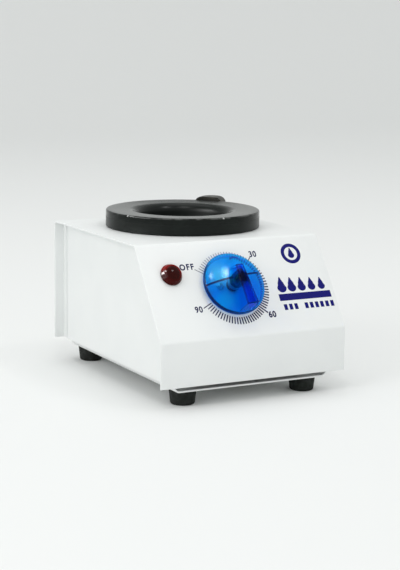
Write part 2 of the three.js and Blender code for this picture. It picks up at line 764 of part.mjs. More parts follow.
// Slope's frame, with the shaft as its middle
function thermostatBody() {
  const [w, h, c] = [thermostatWidth / 2, thermostatHeight / 2, thermostatChamfer];
  const outline = [[w, c - h], [w, h - c], [w - c, h], [c - w, h], [-w, h - c], [-w, c - h],
    [c - w, -h], [w - c, -h]];
  const body = prism(outline, [thermostatBackZ, panelBack]);
  const bush = rod(bushRadius, [panelBack - thermostatChamfer, bushRise]);
  const tabs = [-1, 1].map((side) => block(
    [side * tabSpread / 2 - tabWidth / 2, side * tabSpread / 2 + tabWidth / 2],
    [-tabDrop - tabWall / 2, -tabDrop + tabWall / 2],
    [thermostatBackZ - tabOut, thermostatBackZ + tabWall]));
  const bore = rod(shaftRadius + shaftClearance, [panelBack - shaftSink - seatGap, bushRise + cutOverrun]);
  const holes = [-1, 1].map((side) => rod(thermostatScrewRadius + seatGap,
    [panelBack - thermostatScrewSink - seatGap, cutOverrun]).translate(side * thermostatScrewOffset, 0, 0));
  return cut(join(body, bush, ...tabs), bore, ...holes);
}

function thermostatScrew() {
  return join(rod(thermostatHeadRadius, [seatGap, seatGap + thermostatHeadHeight]),
    rod(thermostatScrewRadius, [panelBack - thermostatScrewSink, seatGap + thermostatHeadHeight / 2]));
}

function thermostatShaft() {
  const round = rod(shaftRadius, [panelBack - shaftSink, shaftTop]);
  const flat = block([-knobRadius, knobRadius], [shaftRadius - shaftFlat, knobRadius],
    [knobRimHeight, shaftTop + cutOverrun]);
  return cut(round, flat);
}

// A body whose four-cornered foot and crest each lie level
function wedge(base, crest, [z0, z1]) {
  const corners = [...base.map(([x, y]) => [x, y, z0]), ...crest.map(([x, y]) => [x, y, z1])];
  const faces = [[0, 2, 1], [0, 3, 2], [4, 5, 6], [4, 6, 7]];
  for (let i = 0; i < 4; i += 1) {
    const next = (i + 1) % 4;
    faces.push([i, next, next + 4], [i, next + 4, i + 4]);
  }
  const geometry = new THREE.BufferGeometry();
  geometry.setAttribute('position', new THREE.Float32BufferAttribute(corners.flat(), 3));
  geometry.setIndex(faces.flat());
  return geometry;
}

function finBody(inset, lowZ) {
  const crestHeight = finHeight - inset;
  const head = finTopWidth / 2 - inset;
  const tail = finTailWidth / 2 - inset;
  const crest = [[-tail, inset - finTail], [tail, inset - finTail], [head, finHead - inset],
    [-head, finHead - inset]];
  const spread = finDraft;
  const base = [[-tail - spread, inset - finTail], [tail + spread, inset - finTail],
    [head + spread, finHead + finHeadRun - inset], [-head - spread, finHead + finHeadRun - inset]];
  return wedge(base, crest, [lowZ, crestHeight]);
}

function knobDome(inset) {
  const radius = knobRadius - inset;
  const rise = knobCrown - knobRimHeight - inset;
  const curve = Array.from({ length: 2 * roundSteps }, (_, i) => {
    const angle = Math.PI / 2 * i / (2 * roundSteps);
    return [radius * Math.cos(angle), knobRimHeight + rise * Math.sin(angle)];
  });
  const low = inset > 0 ? knobSkirtGap - cutOverrun : knobSkirtGap;
  return spin([[0, low], [radius - knobLean, low], ...curve, [0, knobRimHeight + rise]], wideSteps);
}

function knob() {
  const outside = join(knobDome(0), common(finBody(0, knobSkirtGap), rod(knobRadius - knobLean,
    [0, finHeight + cutOverrun], wideSteps)));
  const inside = join(knobDome(knobWall), common(finBody(knobWall, knobSkirtGap - cutOverrun),
    rod(knobRadius - knobLean - knobWall, [0, finHeight + cutOverrun], wideSteps)));
  const hub = rod(hubRadius, [knobHubGap, finHeight]);
  const rib = cut(block([-knobRadius, knobRadius], [-ribWall / 2, ribWall / 2],
    [knobRimHeight, finHeight]), knobDome(knobWall + ribDepth));
  const inner = common(join(hub, rib), outside);
  const bore = rod(shaftRadius + seatGap, [0, shaftTop + seatGap]);
  const clipRoom = ring(hubRadius - clipWall - seatGap, hubRadius + cutOverrun,
    [knobHubGap + clipRaise - seatGap, knobHubGap + clipRaise + clipHeight + seatGap]);
  return cut(join(cut(outside, inside), inner), bore, clipRoom);
}

function knobClip() {
  const range = [knobHubGap + clipRaise, knobHubGap + clipRaise + clipHeight];
  const band = ring(hubRadius - clipWall, hubRadius, range);
  const slit = block([-clipWall, clipWall], [0, hubRadius + cutOverrun],
    [range[0] - cutOverrun, range[1] + cutOverrun]);
  return cut(band, slit);
}

function indicatorLens() {
  const rimTop = seatGap + lensRimHeight;
  const shoulder = lensRadius - lensBevel;
  const curve = Array.from({ length: roundSteps }, (_, i) => {
    const angle = Math.PI / 2 * i / roundSteps;
    return [shoulder * Math.cos(angle), rimTop + (lensHeight - rimTop) * Math.sin(angle)];
  });
  return spin([[0, seatGap], [lensRadius, seatGap], [lensRadius, rimTop - lensBevel / 2],
    ...curve, [0, lensHeight]], middleSteps);
}

function indicatorBody() {
  const body = rod(lampBodyRadius, [lampEndZ, 0], middleSteps);
  const tabs = [-1, 1].map((side) => block(
    [side * lampTabOffset - tabWall / 2, side * lampTabOffset + tabWall / 2],
    [-tabWidth / 4, tabWidth / 4], [lampEndZ - lampTabLength, lampEndZ + tabWall]));
  return join(body, ...tabs);
}

function indicatorNut() {
  return hexNut(lampBodyRadius, lampNutRadius, [panelBack - lampNutHeight, panelBack], middleSteps);
}

function cordGland() {
  const nose = seatGap + glandFlangeWall + glandNoseLength;
  return glandAxis(spin([
    [glandBore, -glandInside],
    [glandRadius, -glandInside],
    [glandRadius, seatGap],
    [glandFlangeRadius, seatGap],
    [glandFlangeRadius, seatGap + glandFlangeWall],
    [glandRadius, seatGap + glandFlangeWall],
    [glandNoseRadius, nose],
    [glandBore, nose],
    [glandBore, -glandInside],
  ], middleSteps));
}

function glandNut() {
  const range = [panelBack - glandNutWidth, panelBack];
  return glandAxis(hexNut(glandRadius, glandNutRadius, range, middleSteps));
}

const blockZ = panFloorZ + seatGap;
const wayPlaces = Array.from({ length: blockWays }, (_, i) => blockWayPitch * (i - (blockWays - 1) / 2));
const ledgeY = (blockRidge + blockDepth) / 4;
const ledgeZ = blockZ + blockHeight - blockStep;

const terminalPlaces = wayPlaces.flatMap((x) => [-1, 1].map((side) => [x, side * ledgeY]));

function terminalBlock() {
  const outline = [[-blockDepth / 2, blockZ], [blockDepth / 2, blockZ], [blockDepth / 2, ledgeZ],
    [blockRidge / 2, ledgeZ], [blockRidge / 2, ledgeZ + blockStep], [-blockRidge / 2, ledgeZ + blockStep],
    [-blockRidge / 2, ledgeZ], [-blockDepth / 2, ledgeZ]];
  const body = prismX(outline, [-blockWidth / 2, blockWidth / 2]);
  const wells = terminalPlaces.map(([x, y]) =>
    rod(blockScrewRadius, [ledgeZ - blockScrewSink, ledgeZ + cutOverrun]).translate(x, y, 0));
  const fixing = rod(blockFixingRadius + screwGap, [blockZ - cutOverrun, ledgeZ + blockStep + cutOverrun]);
  const sunk = rod(blockFixingHead + screwGap, [blockZ + blockFloor, ledgeZ + blockStep + cutOverrun]);
  return geometryOf(cut(body, ...wells, fixing, sunk)).translate(blockX, blockY, 0);
}

function blockScrew() {
  const headZ = blockZ + blockFloor + seatGap;
  const screw = join(rod(blockFixingHead, [headZ, headZ + blockFixingHeadHeight]),
    rod(blockFixingRadius, [panZ - blockFixingHeadHeight, headZ + blockFixingHeadHeight / 2]));
  return geometryOf(screw).translate(blockX, blockY, 0);
}

const earthTagZ = panFloorZ + seatGap;
const earthNutZ = earthTagZ + earthTagWall + seatGap;

function earthScrew() {
  const headTop = panZ - seatGap;
  const screw = join(rod(earthHeadRadius, [headTop - earthHeadHeight, headTop]),
    rod(earthRadius, [headTop - earthHeadHeight / 2, panFloorZ + earthLength]));
  return geometryOf(screw).translate(earthX, earthY, 0);
}

function earthTag() {
  const range = [earthTagZ, earthTagZ + earthTagWall];
  const tongue = block([-earthTagReach, 0], [-earthTagRadius / 2, earthTagRadius / 2], range);
  const tag = cut(join(rod(earthTagRadius, range), tongue),
    rod(earthRadius + seatGap, [range[0] - cutOverrun, range[1] + cutOverrun]));
  return geometryOf(tag).translate(earthX, earthY, 0);
}

function earthNut() {
  return hexNut(earthRadius, earthNutRadius, [earthNutZ, earthNutZ + earthNutHeight])
    .translate(earthX, earthY, 0);
}

// Ends of the leads, each a small gap off the tab or block that it joins
const tabEndZ = thermostatBackZ - tabOut - seatGap;
const cutoutEndZ = strapZ - strapWall - cutoutHeight - cutoutTabLength - seatGap;
const heaterEndZ = bandZ - heaterTabLength - seatGap;
const lampTailZ = lampEndZ - lampTabLength - seatGap;
const blockFrontY = blockY - blockDepth / 2 - seatGap;
const blockBackY = blockY + blockDepth / 2 + seatGap;
const point = (x, y, z) => new THREE.Vector3(x, y, z);

function thermostatTabEnd(side) {
  return onSlope(dialX + side * tabSpread / 2, dialY - tabDrop, tabEndZ);
}

// A lead leaves each of its ends straight, along that end's heading
function lead([start, startHeading], [end, endHeading], ...middle) {
  const first = start.clone().addScaledVector(startHeading, leadStraight);
  const last = end.clone().addScaledVector(endHeading, leadStraight);
  return tube([start, first, ...middle, last, end], leadRadius);
}

const inwards = onSlope(0, 0, -1).sub(onSlope(0, 0, 0));
const down = point(0, 0, -1);
const wayEnd = (way, y, heading) => [point(blockX + wayPlaces[way], y, leadZ), point(0, heading, 0)];
const heaterEnd = (side) => [
  point(potX + side * heaterTabOffset, potY + heaterTabY, heaterEndZ), down];
const cutoutEnd = (side) => [
  point(potX + side * cutoutTabOffset, potY + cutoutOffset, cutoutEndZ), down];
const lampEnd = (side) => [onSlope(lampX + side * lampTabOffset, lampY, lampTailZ), inwards];
const thermostatEnd = (side) => [thermostatTabEnd(side), inwards];

function earthLead() {
  const start = point(earthX - earthTagReach - seatGap, earthY, earthTagZ + leadRadius);
  return lead([start, point(-1, 0, 0)], wayEnd(3, blockFrontY, -1));
}

function capillaryTube() {
  const start = onSlope(dialX, dialY + capillaryRise, thermostatBackZ - seatGap);
  const bulbEnd = point(potX - bulbLength / 2, potY + bulbOffset, bulbZ);
  const lowZ = shieldTopZ - shieldHeight - capillaryDrop;
  const bends = capillaryShares.map(([x, y]) =>
    point(potX + x * shieldRadius, potY + y * shieldRadius, lowZ));
  const route = tube([
    start,
    start.clone().addScaledVector(inwards, leadStraight),
    ...bends,
    bulbEnd.clone().add(point(-leadStraight, 0, 0)),
    bulbEnd.clone().add(point(bulbRadius, 0, 0)),
  ], capillaryRadius);
  const bulb = alongX(rod(bulbRadius, [-bulbLength / 2, bulbLength / 2]))
    .translate(potX, potY + bulbOffset, bulbZ);
  return join(route, bulb);
}

// Assembly
const warmer = new THREE.Group();
const frame = new THREE.Group();
const panel = new THREE.Group();
const dial = new THREE.Group();
const lamp = new THREE.Group();
const well = new THREE.Group();
const pot = new THREE.Group();
panel.position.set(0, 0, lipTopZ);
panel.rotation.x = slopeTilt;
dial.position.set(dialX, dialY, 0);
lamp.position.set(lampX, lampY, 0);
well.position.set(potX, potY, 0);
pot.position.set(potX, potY, 0);
pot.rotation.z = gripAngle;
panel.add(dial, lamp);
frame.add(panel, well, pot);
warmer.add(frame);

function addPart(parent, name, solid, material) {
  const mesh = new THREE.Mesh(geometryOf(solid), material);
  mesh.name = name;
  parent.add(mesh);
  return mesh;
}

addPart(frame, 'cover_shell', coverShell(), whiteEnamel);
addPart(frame, 'side_panel_left', sidePanel(-1), whiteEnamel);
addPart(frame, 'side_panel_right', sidePanel(1), whiteEnamel);
addPart(frame, 'base_pan', basePan(), whiteEnamel);

for (const [side, x] of [['left', -footX], ['right', footX]]) {
  for (const [end, y] of [['front', footY[0]], ['rear', footY[1]]]) {
    addPart(frame, `foot_${end}_${side}`, foot(), blackRubber).position.set(x, y, 0);
    addPart(frame, `foot_screw_${end}_${side}`, footScrew(), zincSteel).position.set(x, y, 0);
  }
}

addPart(pot, 'wax_pot', waxPot(), blackCoat);
addPart(pot, 'pot_grip', potGrip(), blackResin);
addPart(pot, 'grip_screw', gripScrew(), zincSteel);

addPart(well, 'heater_well', heaterWell(), aluminium);
wellScrewPlaces.forEach(([x, y], i) => {
  addPart(well, `well_screw_${i + 1}`, wellScrew(), zincSteel).position.set(x, y, 0);
});
addPart(well, 'heat_shield', heatShield(), zincSteel);
addPart(well, 'band_heater', bandHeater(), micaBand);
addPart(well, 'heater_clamp_screw', clampScrew(), zincSteel);
addPart(well, 'heater_clamp_nut', clampNut(), zincSteel);
addPart(well, 'thermal_cutout', thermalCutout(), darkPlastic);
addPart(well, 'bulb_clip', bulbClip(), zincSteel);
studPlaces.forEach(([x, y], i) => {
  addPart(well, `stud_nut_${i + 1}`, studNut(), zincSteel).position.set(x, y, 0);
});

addPart(dial, 'thermostat_body', thermostatBody(), darkPlastic);
for (const [side, x] of [['left', -thermostatScrewOffset], ['right', thermostatScrewOffset]]) {
  addPart(dial, `thermostat_screw_${side}`, thermostatScrew(), zincSteel).position.set(x, 0, 0);
}
const turned = new THREE.Group();
turned.rotation.z = knobTurn;
dial.add(turned);
addPart(turned, 'thermostat_shaft', thermostatShaft(), brass);
addPart(turned, 'knob', knob(), blueClear);
addPart(turned, 'knob_clip', knobClip(), zincSteel);
addPart(frame, 'sensor_bulb_tube', capillaryTube(), copper);

addPart(lamp, 'indicator_lens', indicatorLens(), redClear);
addPart(lamp, 'indicator_body', indicatorBody(), darkPlastic);
addPart(lamp, 'indicator_nut', indicatorNut(), whitePlastic);

addPart(frame, 'cord_gland', cordGland(), darkPlastic);
addPart(frame, 'gland_nut', glandNut(), darkPlastic);

addPart(frame, 'terminal_block', terminalBlock(), whitePlastic);
addPart(frame, 'block_screw', blockScrew(), zincSteel);
addPart(frame, 'earth_screw', earthScrew(), brass);
addPart(frame, 'earth_tag', earthTag(), brass);
addPart(frame, 'earth_nut', earthNut(), brass);

addPart(frame, 'lamp_lead_left', lead(lampEnd(-1), wayEnd(0, blockFrontY, -1)), whiteSleeve);
addPart(frame, 'lamp_lead_right', lead(lampEnd(1), wayEnd(1, blockFrontY, -1)), whiteSleeve);
addPart(frame, 'live_lead', lead(thermostatEnd(-1), wayEnd(2, blockFrontY, -1)), brownSleeve);
addPart(frame, 'earth_lead', earthLead(), greenSleeve);
addPart(frame, 'cutout_lead', lead(thermostatEnd(1), cutoutEnd(-1)), brownSleeve);
addPart(frame, 'heater_lead', lead(heaterEnd(1), cutoutEnd(1)), brownSleeve);
addPart(frame, 'return_lead', lead(heaterEnd(-1), wayEnd(2, blockBackY, 1)), blueSleeve);

// The origin lies under the middle of the whole part, on the ground
const bounds = new THREE.Box3().setFromObject(frame, true);
frame.position.set(-(bounds.min.x + bounds.max.x) / 2, -(bounds.min.y + bounds.max.y) / 2, -bounds.min.z);
warmer.updateMatrixWorld(true);

export default warmer;
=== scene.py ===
"""Looks of the wax warmer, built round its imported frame.

The frame is in metres, X to the right, Y to the back, Z up. Each sub-assembly below holds its sizes in
millimetres, is shaped in its own frame, and is then set in place by that frame's matrix. The materials
read their places in millimetres too.
"""

import logging
import math
from contextlib import contextmanager
from dataclasses import dataclass
from enum import Enum
from typing import Callable, Iterable, Iterator, Optional, Sequence

import bmesh
import bpy
from mathutils import Matrix, Vector


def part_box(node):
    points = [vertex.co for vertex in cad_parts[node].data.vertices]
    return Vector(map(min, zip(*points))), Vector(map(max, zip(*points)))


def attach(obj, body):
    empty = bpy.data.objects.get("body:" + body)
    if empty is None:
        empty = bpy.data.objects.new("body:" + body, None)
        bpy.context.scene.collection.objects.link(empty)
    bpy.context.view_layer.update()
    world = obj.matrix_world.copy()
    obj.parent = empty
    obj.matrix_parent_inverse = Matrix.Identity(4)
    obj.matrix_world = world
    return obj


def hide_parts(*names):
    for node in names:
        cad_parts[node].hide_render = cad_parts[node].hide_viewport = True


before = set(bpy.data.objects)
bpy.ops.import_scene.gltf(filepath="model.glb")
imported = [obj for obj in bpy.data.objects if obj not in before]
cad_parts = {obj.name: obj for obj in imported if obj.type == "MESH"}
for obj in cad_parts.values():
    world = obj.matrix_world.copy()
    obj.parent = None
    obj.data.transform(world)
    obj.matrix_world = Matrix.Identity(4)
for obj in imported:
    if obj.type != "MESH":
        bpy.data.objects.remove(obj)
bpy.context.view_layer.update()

LOG = logging.getLogger("warmer")
MM = 0.001
NEAR = 1e-3
DOUBLE = 1e-4
SHARP = math.radians(40)
IN_METRES = Matrix.Diagonal((MM, MM, MM, 1))
Place = Sequence[float]
Colour = tuple[float, float, float]
Test = Callable[[Vector, Vector], bool]


class Element(Enum):
    """Kinds of mesh element that can be picked."""

    CORNERS = "VERT"
    EDGES = "EDGE"
    FACES = "FACE"


class Merge(Enum):
    """Ways of combining two solids."""

    JOIN = "UNION"
    CUT = "DIFFERENCE"
    COMMON = "INTERSECT"


class Body(Enum):
    """Bodies of the frame that pieces ride on."""

    CASE = "case"
    DIAL = "dial"
    POT = "pot"


def turned_about(axis: str, degrees: float) -> Matrix:
    """Returns a turn about an axis."""
    return Matrix.Rotation(math.radians(degrees), 4, axis)


def moved(x: float, y: float, z: float = 0) -> Matrix:
    """Returns a move in millimetres."""
    return Matrix.Translation((x, y, z))


def on_arc(centre: Place, radii: Place, start: float, end: float, steps: int) -> list[Place]:
    """Lists points of an arc, round or flattened.

    Args:
        centre: its middle.
        radii: its half width and half height.
        start: first angle, in degrees.
        end: last angle, in degrees.
        steps: number of spans.

    Returns:
        The points, from the first angle to the last.
    """
    angles = [math.radians(start + (end - start) * i / steps) for i in range(steps + 1)]
    return [(centre[0] + radii[0] * math.cos(a), centre[1] + radii[1] * math.sin(a)) for a in angles]


def rounded(corners: Sequence[Place], closed: bool, steps: int) -> list[Place]:
    """Rounds the corners of an outline.

    Args:
        corners: points as (a, b) or (a, b, radius).
        closed: whether the last point leads back to the first.
        steps: number of spans in each round.

    Returns:
        The outline's points.
    """
    line: list[Place] = []
    count = len(corners)
    for i, corner in enumerate(corners):
        here = Vector(corner[:2])
        radius = corner[2] if len(corner) > 2 else 0
        if not radius or (not closed and i in (0, count - 1)):
            line.append(tuple(here))
            continue
        before = (Vector(corners[i - 1][:2]) - here).normalized()
        after = (Vector(corners[(i + 1) % count][:2]) - here).normalized()
        half = before.angle(after) / 2
        middle = here + (before + after).normalized() * (radius / math.sin(half))
        first, last = (here + side * (radius / math.tan(half)) - middle for side in (before, after))
        sweep = first.angle_signed(last)
        line += [tuple(middle + Matrix.Rotation(-sweep * k / steps, 2) @ first) for k in range(steps + 1)]
    return line


class Blank:
    """A mesh under work: a primitive at first, then shaped by edit operators, in millimetres."""

    def __init__(self, add: Callable, **settings: object) -> None:
        """Adds a primitive, with its place in its mesh and nothing else selected.

        Args:
            add: the operator that adds it.
            settings: the operator's settings.
        """
        bpy.ops.object.select_all(action="DESELECT")
        add(**settings)
        self.object = bpy.context.active_object
        self.object.data.transform(self.object.matrix_basis)
        self.object.matrix_basis = Matrix.Identity(4)

    @classmethod
    def box(cls, x: Place, y: Place, z: Place) -> "Blank":
        """Returns a box that fills three ranges."""
        return cls(bpy.ops.mesh.primitive_cube_add, size=1).place(moved(
            sum(x) / 2, sum(y) / 2, sum(z) / 2) @ Matrix.Diagonal((x[1] - x[0], y[1] - y[0], z[1] - z[0], 1)))

    @classmethod
    def rod(cls, radius: float, z: Place, sides: int = 48) -> "Blank":
        """Returns an upright rod."""
        return cls(bpy.ops.mesh.primitive_cylinder_add, radius=radius, depth=z[1] - z[0],
                   vertices=sides, location=(0, 0, sum(z) / 2))

    @classmethod
    def rods(cls, spots: Iterable[Place], radius: float, z: Place, sides: int = 24) -> "Blank":
        """Returns upright rods at several places as one object."""
        return cls.gather([cls.rod(radius, z, sides).place(moved(*spot)) for spot in spots])

    @classmethod
    def sheet(cls, width: float, depth: float, matrix: Matrix) -> "Blank":
        """Returns a plain sheet of a width and depth, set in place."""
        return cls(bpy.ops.mesh.primitive_plane_add, size=1).place(
            matrix @ Matrix.Diagonal((width, depth, 1, 1)))

    @classmethod
    def line(cls, points: Sequence[Place], closed: bool) -> "Blank":
        """Draws a line of corners, one extrusion after another.

        Args:
            points: (radius, height) pairs in the plane of X and Z.
            closed: whether the last point is joined to the first.

        Returns:
            The line.
        """
        places = [Vector((a, 0, b)) for a, b in points]
        blank = cls(bpy.ops.mesh.primitive_plane_add, size=1, location=places[0])
        with blank.editing():
            bpy.ops.mesh.select_mode(type="VERT")
            bpy.ops.mesh.select_all(action="SELECT")
            bpy.ops.mesh.merge(type="CENTER")
            for start, end in zip(places, places[1:]):
                blank.extrude(end - start)
            if closed:
                blank.pick(Element.CORNERS, lambda at, _: min(
                    (at - places[0]).length, (at - places[-1]).length) < DOUBLE)
                bpy.ops.mesh.edge_face_add()
        return blank

    @classmethod
    def spun(cls, outline: Sequence[Place], closed: bool = False, steps: int = 96,
             round_steps: int = 6) -> "Blank":
        """Spins an outline about Z into a solid.

        Args:
            outline: corners as (radius, height) or (radius, height, round).
            closed: whether the outline leads back to its start, and not to the axis.
            steps: number of spans round the axis.
            round_steps: number of spans in each round.

        Returns:
            The solid.
        """
        blank = cls.line(rounded(outline, closed, round_steps), closed)
        with blank.editing():
            bpy.ops.mesh.select_all(action="SELECT")
            bpy.ops.mesh.spin(steps=steps, angle=math.tau, center=(0, 0, 0), axis=(0, 0, 1))
            blank.tidy()
        return blank

    @classmethod
    def wedge(cls, base: Sequence[Place], crest: Sequence[Place], z: Place) -> "Blank":
        """Makes a block whose foot and crest are four-cornered.

        Args:
            base: corners of its foot, from the low left round.
            crest: corners of its crest, in the same order.
            z: heights of its foot and crest.

        Returns:
            The block.
        """
        blank = cls.box((-1, 1), (-1, 1), (-1, 1))
        signs = [(-1, -1), (1, -1), (1, 1), (-1, 1)]
        afar = 1e3
        with blank.editing():
            for level, height, corners in zip((-1, 1), z, (base, crest)):
                for (sx, sy), (x, y) in zip(signs, corners):
                    start = Vector((sx, sy, level))
                    blank.pick(Element.CORNERS, lambda at, _: (at - start).length < NEAR)
                    bpy.ops.transform.translate(value=Vector((x, y, height)) * afar - start)
            bpy.ops.mesh.select_all(action="SELECT")
            bpy.ops.transform.resize(value=[1 / afar] * 3, center_override=(0, 0, 0))
        return blank

    @classmethod
    def gather(cls, blanks: Sequence["Blank"]) -> "Blank":
        """Joins several meshes into one object.

        Args:
            blanks: the meshes, of which the first takes up the others.

        Returns:
            The first.
        """
        blanks[0].activate()
        for blank in blanks:
            blank.object.select_set(True)
        bpy.ops.object.join()
        return blanks[0]

    def place(self, matrix: Matrix) -> "Blank":
        """Sets the mesh somewhere else."""
        self.object.data.transform(matrix)
        return self

    def copy(self, matrix: Matrix) -> "Blank":
        """Makes a copy with its own mesh.

        Args:
            matrix: where the copy is set.

        Returns:
            The copy.
        """
        twin = Blank.__new__(Blank)
        twin.object = self.object.copy()
        twin.object.data = self.object.data.copy()
        bpy.context.collection.objects.link(twin.object)
        return twin.place(matrix)

    def remove(self) -> None:
        """Removes the object."""
        bpy.data.objects.remove(self.object)

    def activate(self) -> None:
        """Makes the object the only selected one and the active one."""
        bpy.ops.object.select_all(action="DESELECT")
        self.object.select_set(True)
        bpy.context.view_layer.objects.active = self.object

    @contextmanager
    def editing(self) -> Iterator["Blank"]:
        """Enters edit mode with nothing else selected, and leaves it at the end.

        Returns:
            The blank itself, as a context.
        """
        self.activate()
        bpy.ops.object.mode_set(mode="EDIT")
        yield self
        bpy.ops.object.mode_set(mode="OBJECT")

    def pick(self, kind: Element, test: Test) -> int:
        """Selects the elements that pass a test, and only those.

        Args:
            kind: corners, edges or faces.
            test: takes an element's middle and its normal, or an edge's direction.

        Returns:
            How many were selected.
        """
        bpy.ops.mesh.select_mode(type=kind.value)
        bpy.ops.mesh.select_all(action="DESELECT")
        mesh = bmesh.from_edit_mesh(self.object.data)
        mesh.normal_update()
        if kind is Element.FACES:
            found = [(face, face.calc_center_median(), face.normal) for face in mesh.faces]
        elif kind is Element.EDGES:
            found = [(edge, (edge.verts[0].co + edge.verts[1].co) / 2,
                      (edge.verts[1].co - edge.verts[0].co).normalized()) for edge in mesh.edges]
        else:
            found = [(corner, corner.co, corner.normal) for corner in mesh.verts]
        picked = [element for element, middle, heading in found if test(middle.copy(), heading.copy())]
        for element in picked:
            element.select_set(True)
        mesh.select_flush_mode()
        bmesh.update_edit_mesh(self.object.data)
        return len(picked)

    def extrude(self, move: Vector) -> None:
        """Extrudes what is selected."""
        bpy.ops.mesh.extrude_region_move(TRANSFORM_OT_translate={"value": tuple(move)})

    def tidy(self) -> None:
        """Merges doubles and turns all faces outwards."""
        bpy.ops.mesh.select_all(action="SELECT")
        bpy.ops.mesh.remove_doubles(threshold=DOUBLE)
        bpy.ops.mesh.normals_make_consistent(inside=False)

    def bevel_edges(self, test: Test, width: float, segments: int) -> "Blank":
        """Bevels the edges that pass a test.

        Args:
            test: takes an edge's middle and its direction.
            width: the bevel's width.
            segments: number of its spans.

        Returns:
            The blank itself.
        """
        with self.editing():
            self.pick(Element.EDGES, test)
            bpy.ops.mesh.bevel(offset=width, segments=segments, profile=0.5, affect="EDGES")
        return self

    def apply(self, kind: str, **settings: object) -> "Blank":
        """Adds a modifier and applies it.

        Args:
            kind: the modifier's type.
            settings: its settings.

        Returns:
            The blank itself.
        """
        modifier = self.object.modifiers.new("shape", kind)
        for name, value in settings.items():
            setattr(modifier, name, value)
        self.activate()
        bpy.ops.object.modifier_apply(modifier=modifier.name)
        return self

    def thicken(self, wall: float, offset: float, edge: float) -> "Blank":
        """Gives a sheet its thickness on one side, and breaks its edges."""
        self.apply("SOLIDIFY", thickness=wall, offset=offset, use_even_offset=True)
        return self.soften(edge, 3)

    def soften(self, width: float, segments: int = 2) -> "Blank":
        """Breaks the sharp edges."""
        return self.apply("BEVEL", width=width, segments=segments, limit_method="ANGLE",
                          angle_limit=SHARP, use_clamp_overlap=True)

    def combine(self, way: Merge, *tools: "Blank") -> "Blank":
        """Joins, cuts or limits the solid by others.

        Args:
            way: how they are combined.
            tools: the others, which are used up.

        Returns:
            The blank itself.
        """
        for tool in tools:
            self.apply("BOOLEAN", operation=way.value, object=tool.object, solver="EXACT")
            tool.remove()
        return self


def operator(operation: str, reflected: bool = False) -> Callable[["Value", object], "Value"]:
    """Makes the method of an operator, which adds a Math node.

    Args:
        operation: the node's operation.
        reflected: whether the other value comes first.

    Returns:
        The method.
    """
    def method(value: "Value", other: object) -> "Value":
        """Adds the node."""
        return value.graph.maths(operation, *((other, value) if reflected else (value, other)))

    return method


class Value:
    """A node's output socket that takes part in sums."""

    def __init__(self, graph: "Graph", socket: Optional[bpy.types.NodeSocket]) -> None:
        """Keeps the socket and the graph that it belongs to."""
        self.graph = graph
        self.socket = socket

    __add__ = __radd__ = operator("ADD")
    __sub__ = operator("SUBTRACT")
    __rsub__ = operator("SUBTRACT", reflected=True)
    __mul__ = __rmul__ = operator("MULTIPLY")
    __truediv__ = operator("DIVIDE")
    __pow__ = operator("POWER")


@dataclass(frozen=True)
class Tint:
    """A colour that is laid over others, and how far it covers them."""

    colour: Colour
    share: float = 1


@dataclass(frozen=True)
class Spot(Tint):
    """A soft round patch of a colour: its middle, and the distances at which it starts to fade and ends."""

    middle: Place = (0, 0)
    reach: Place = (0, 1)


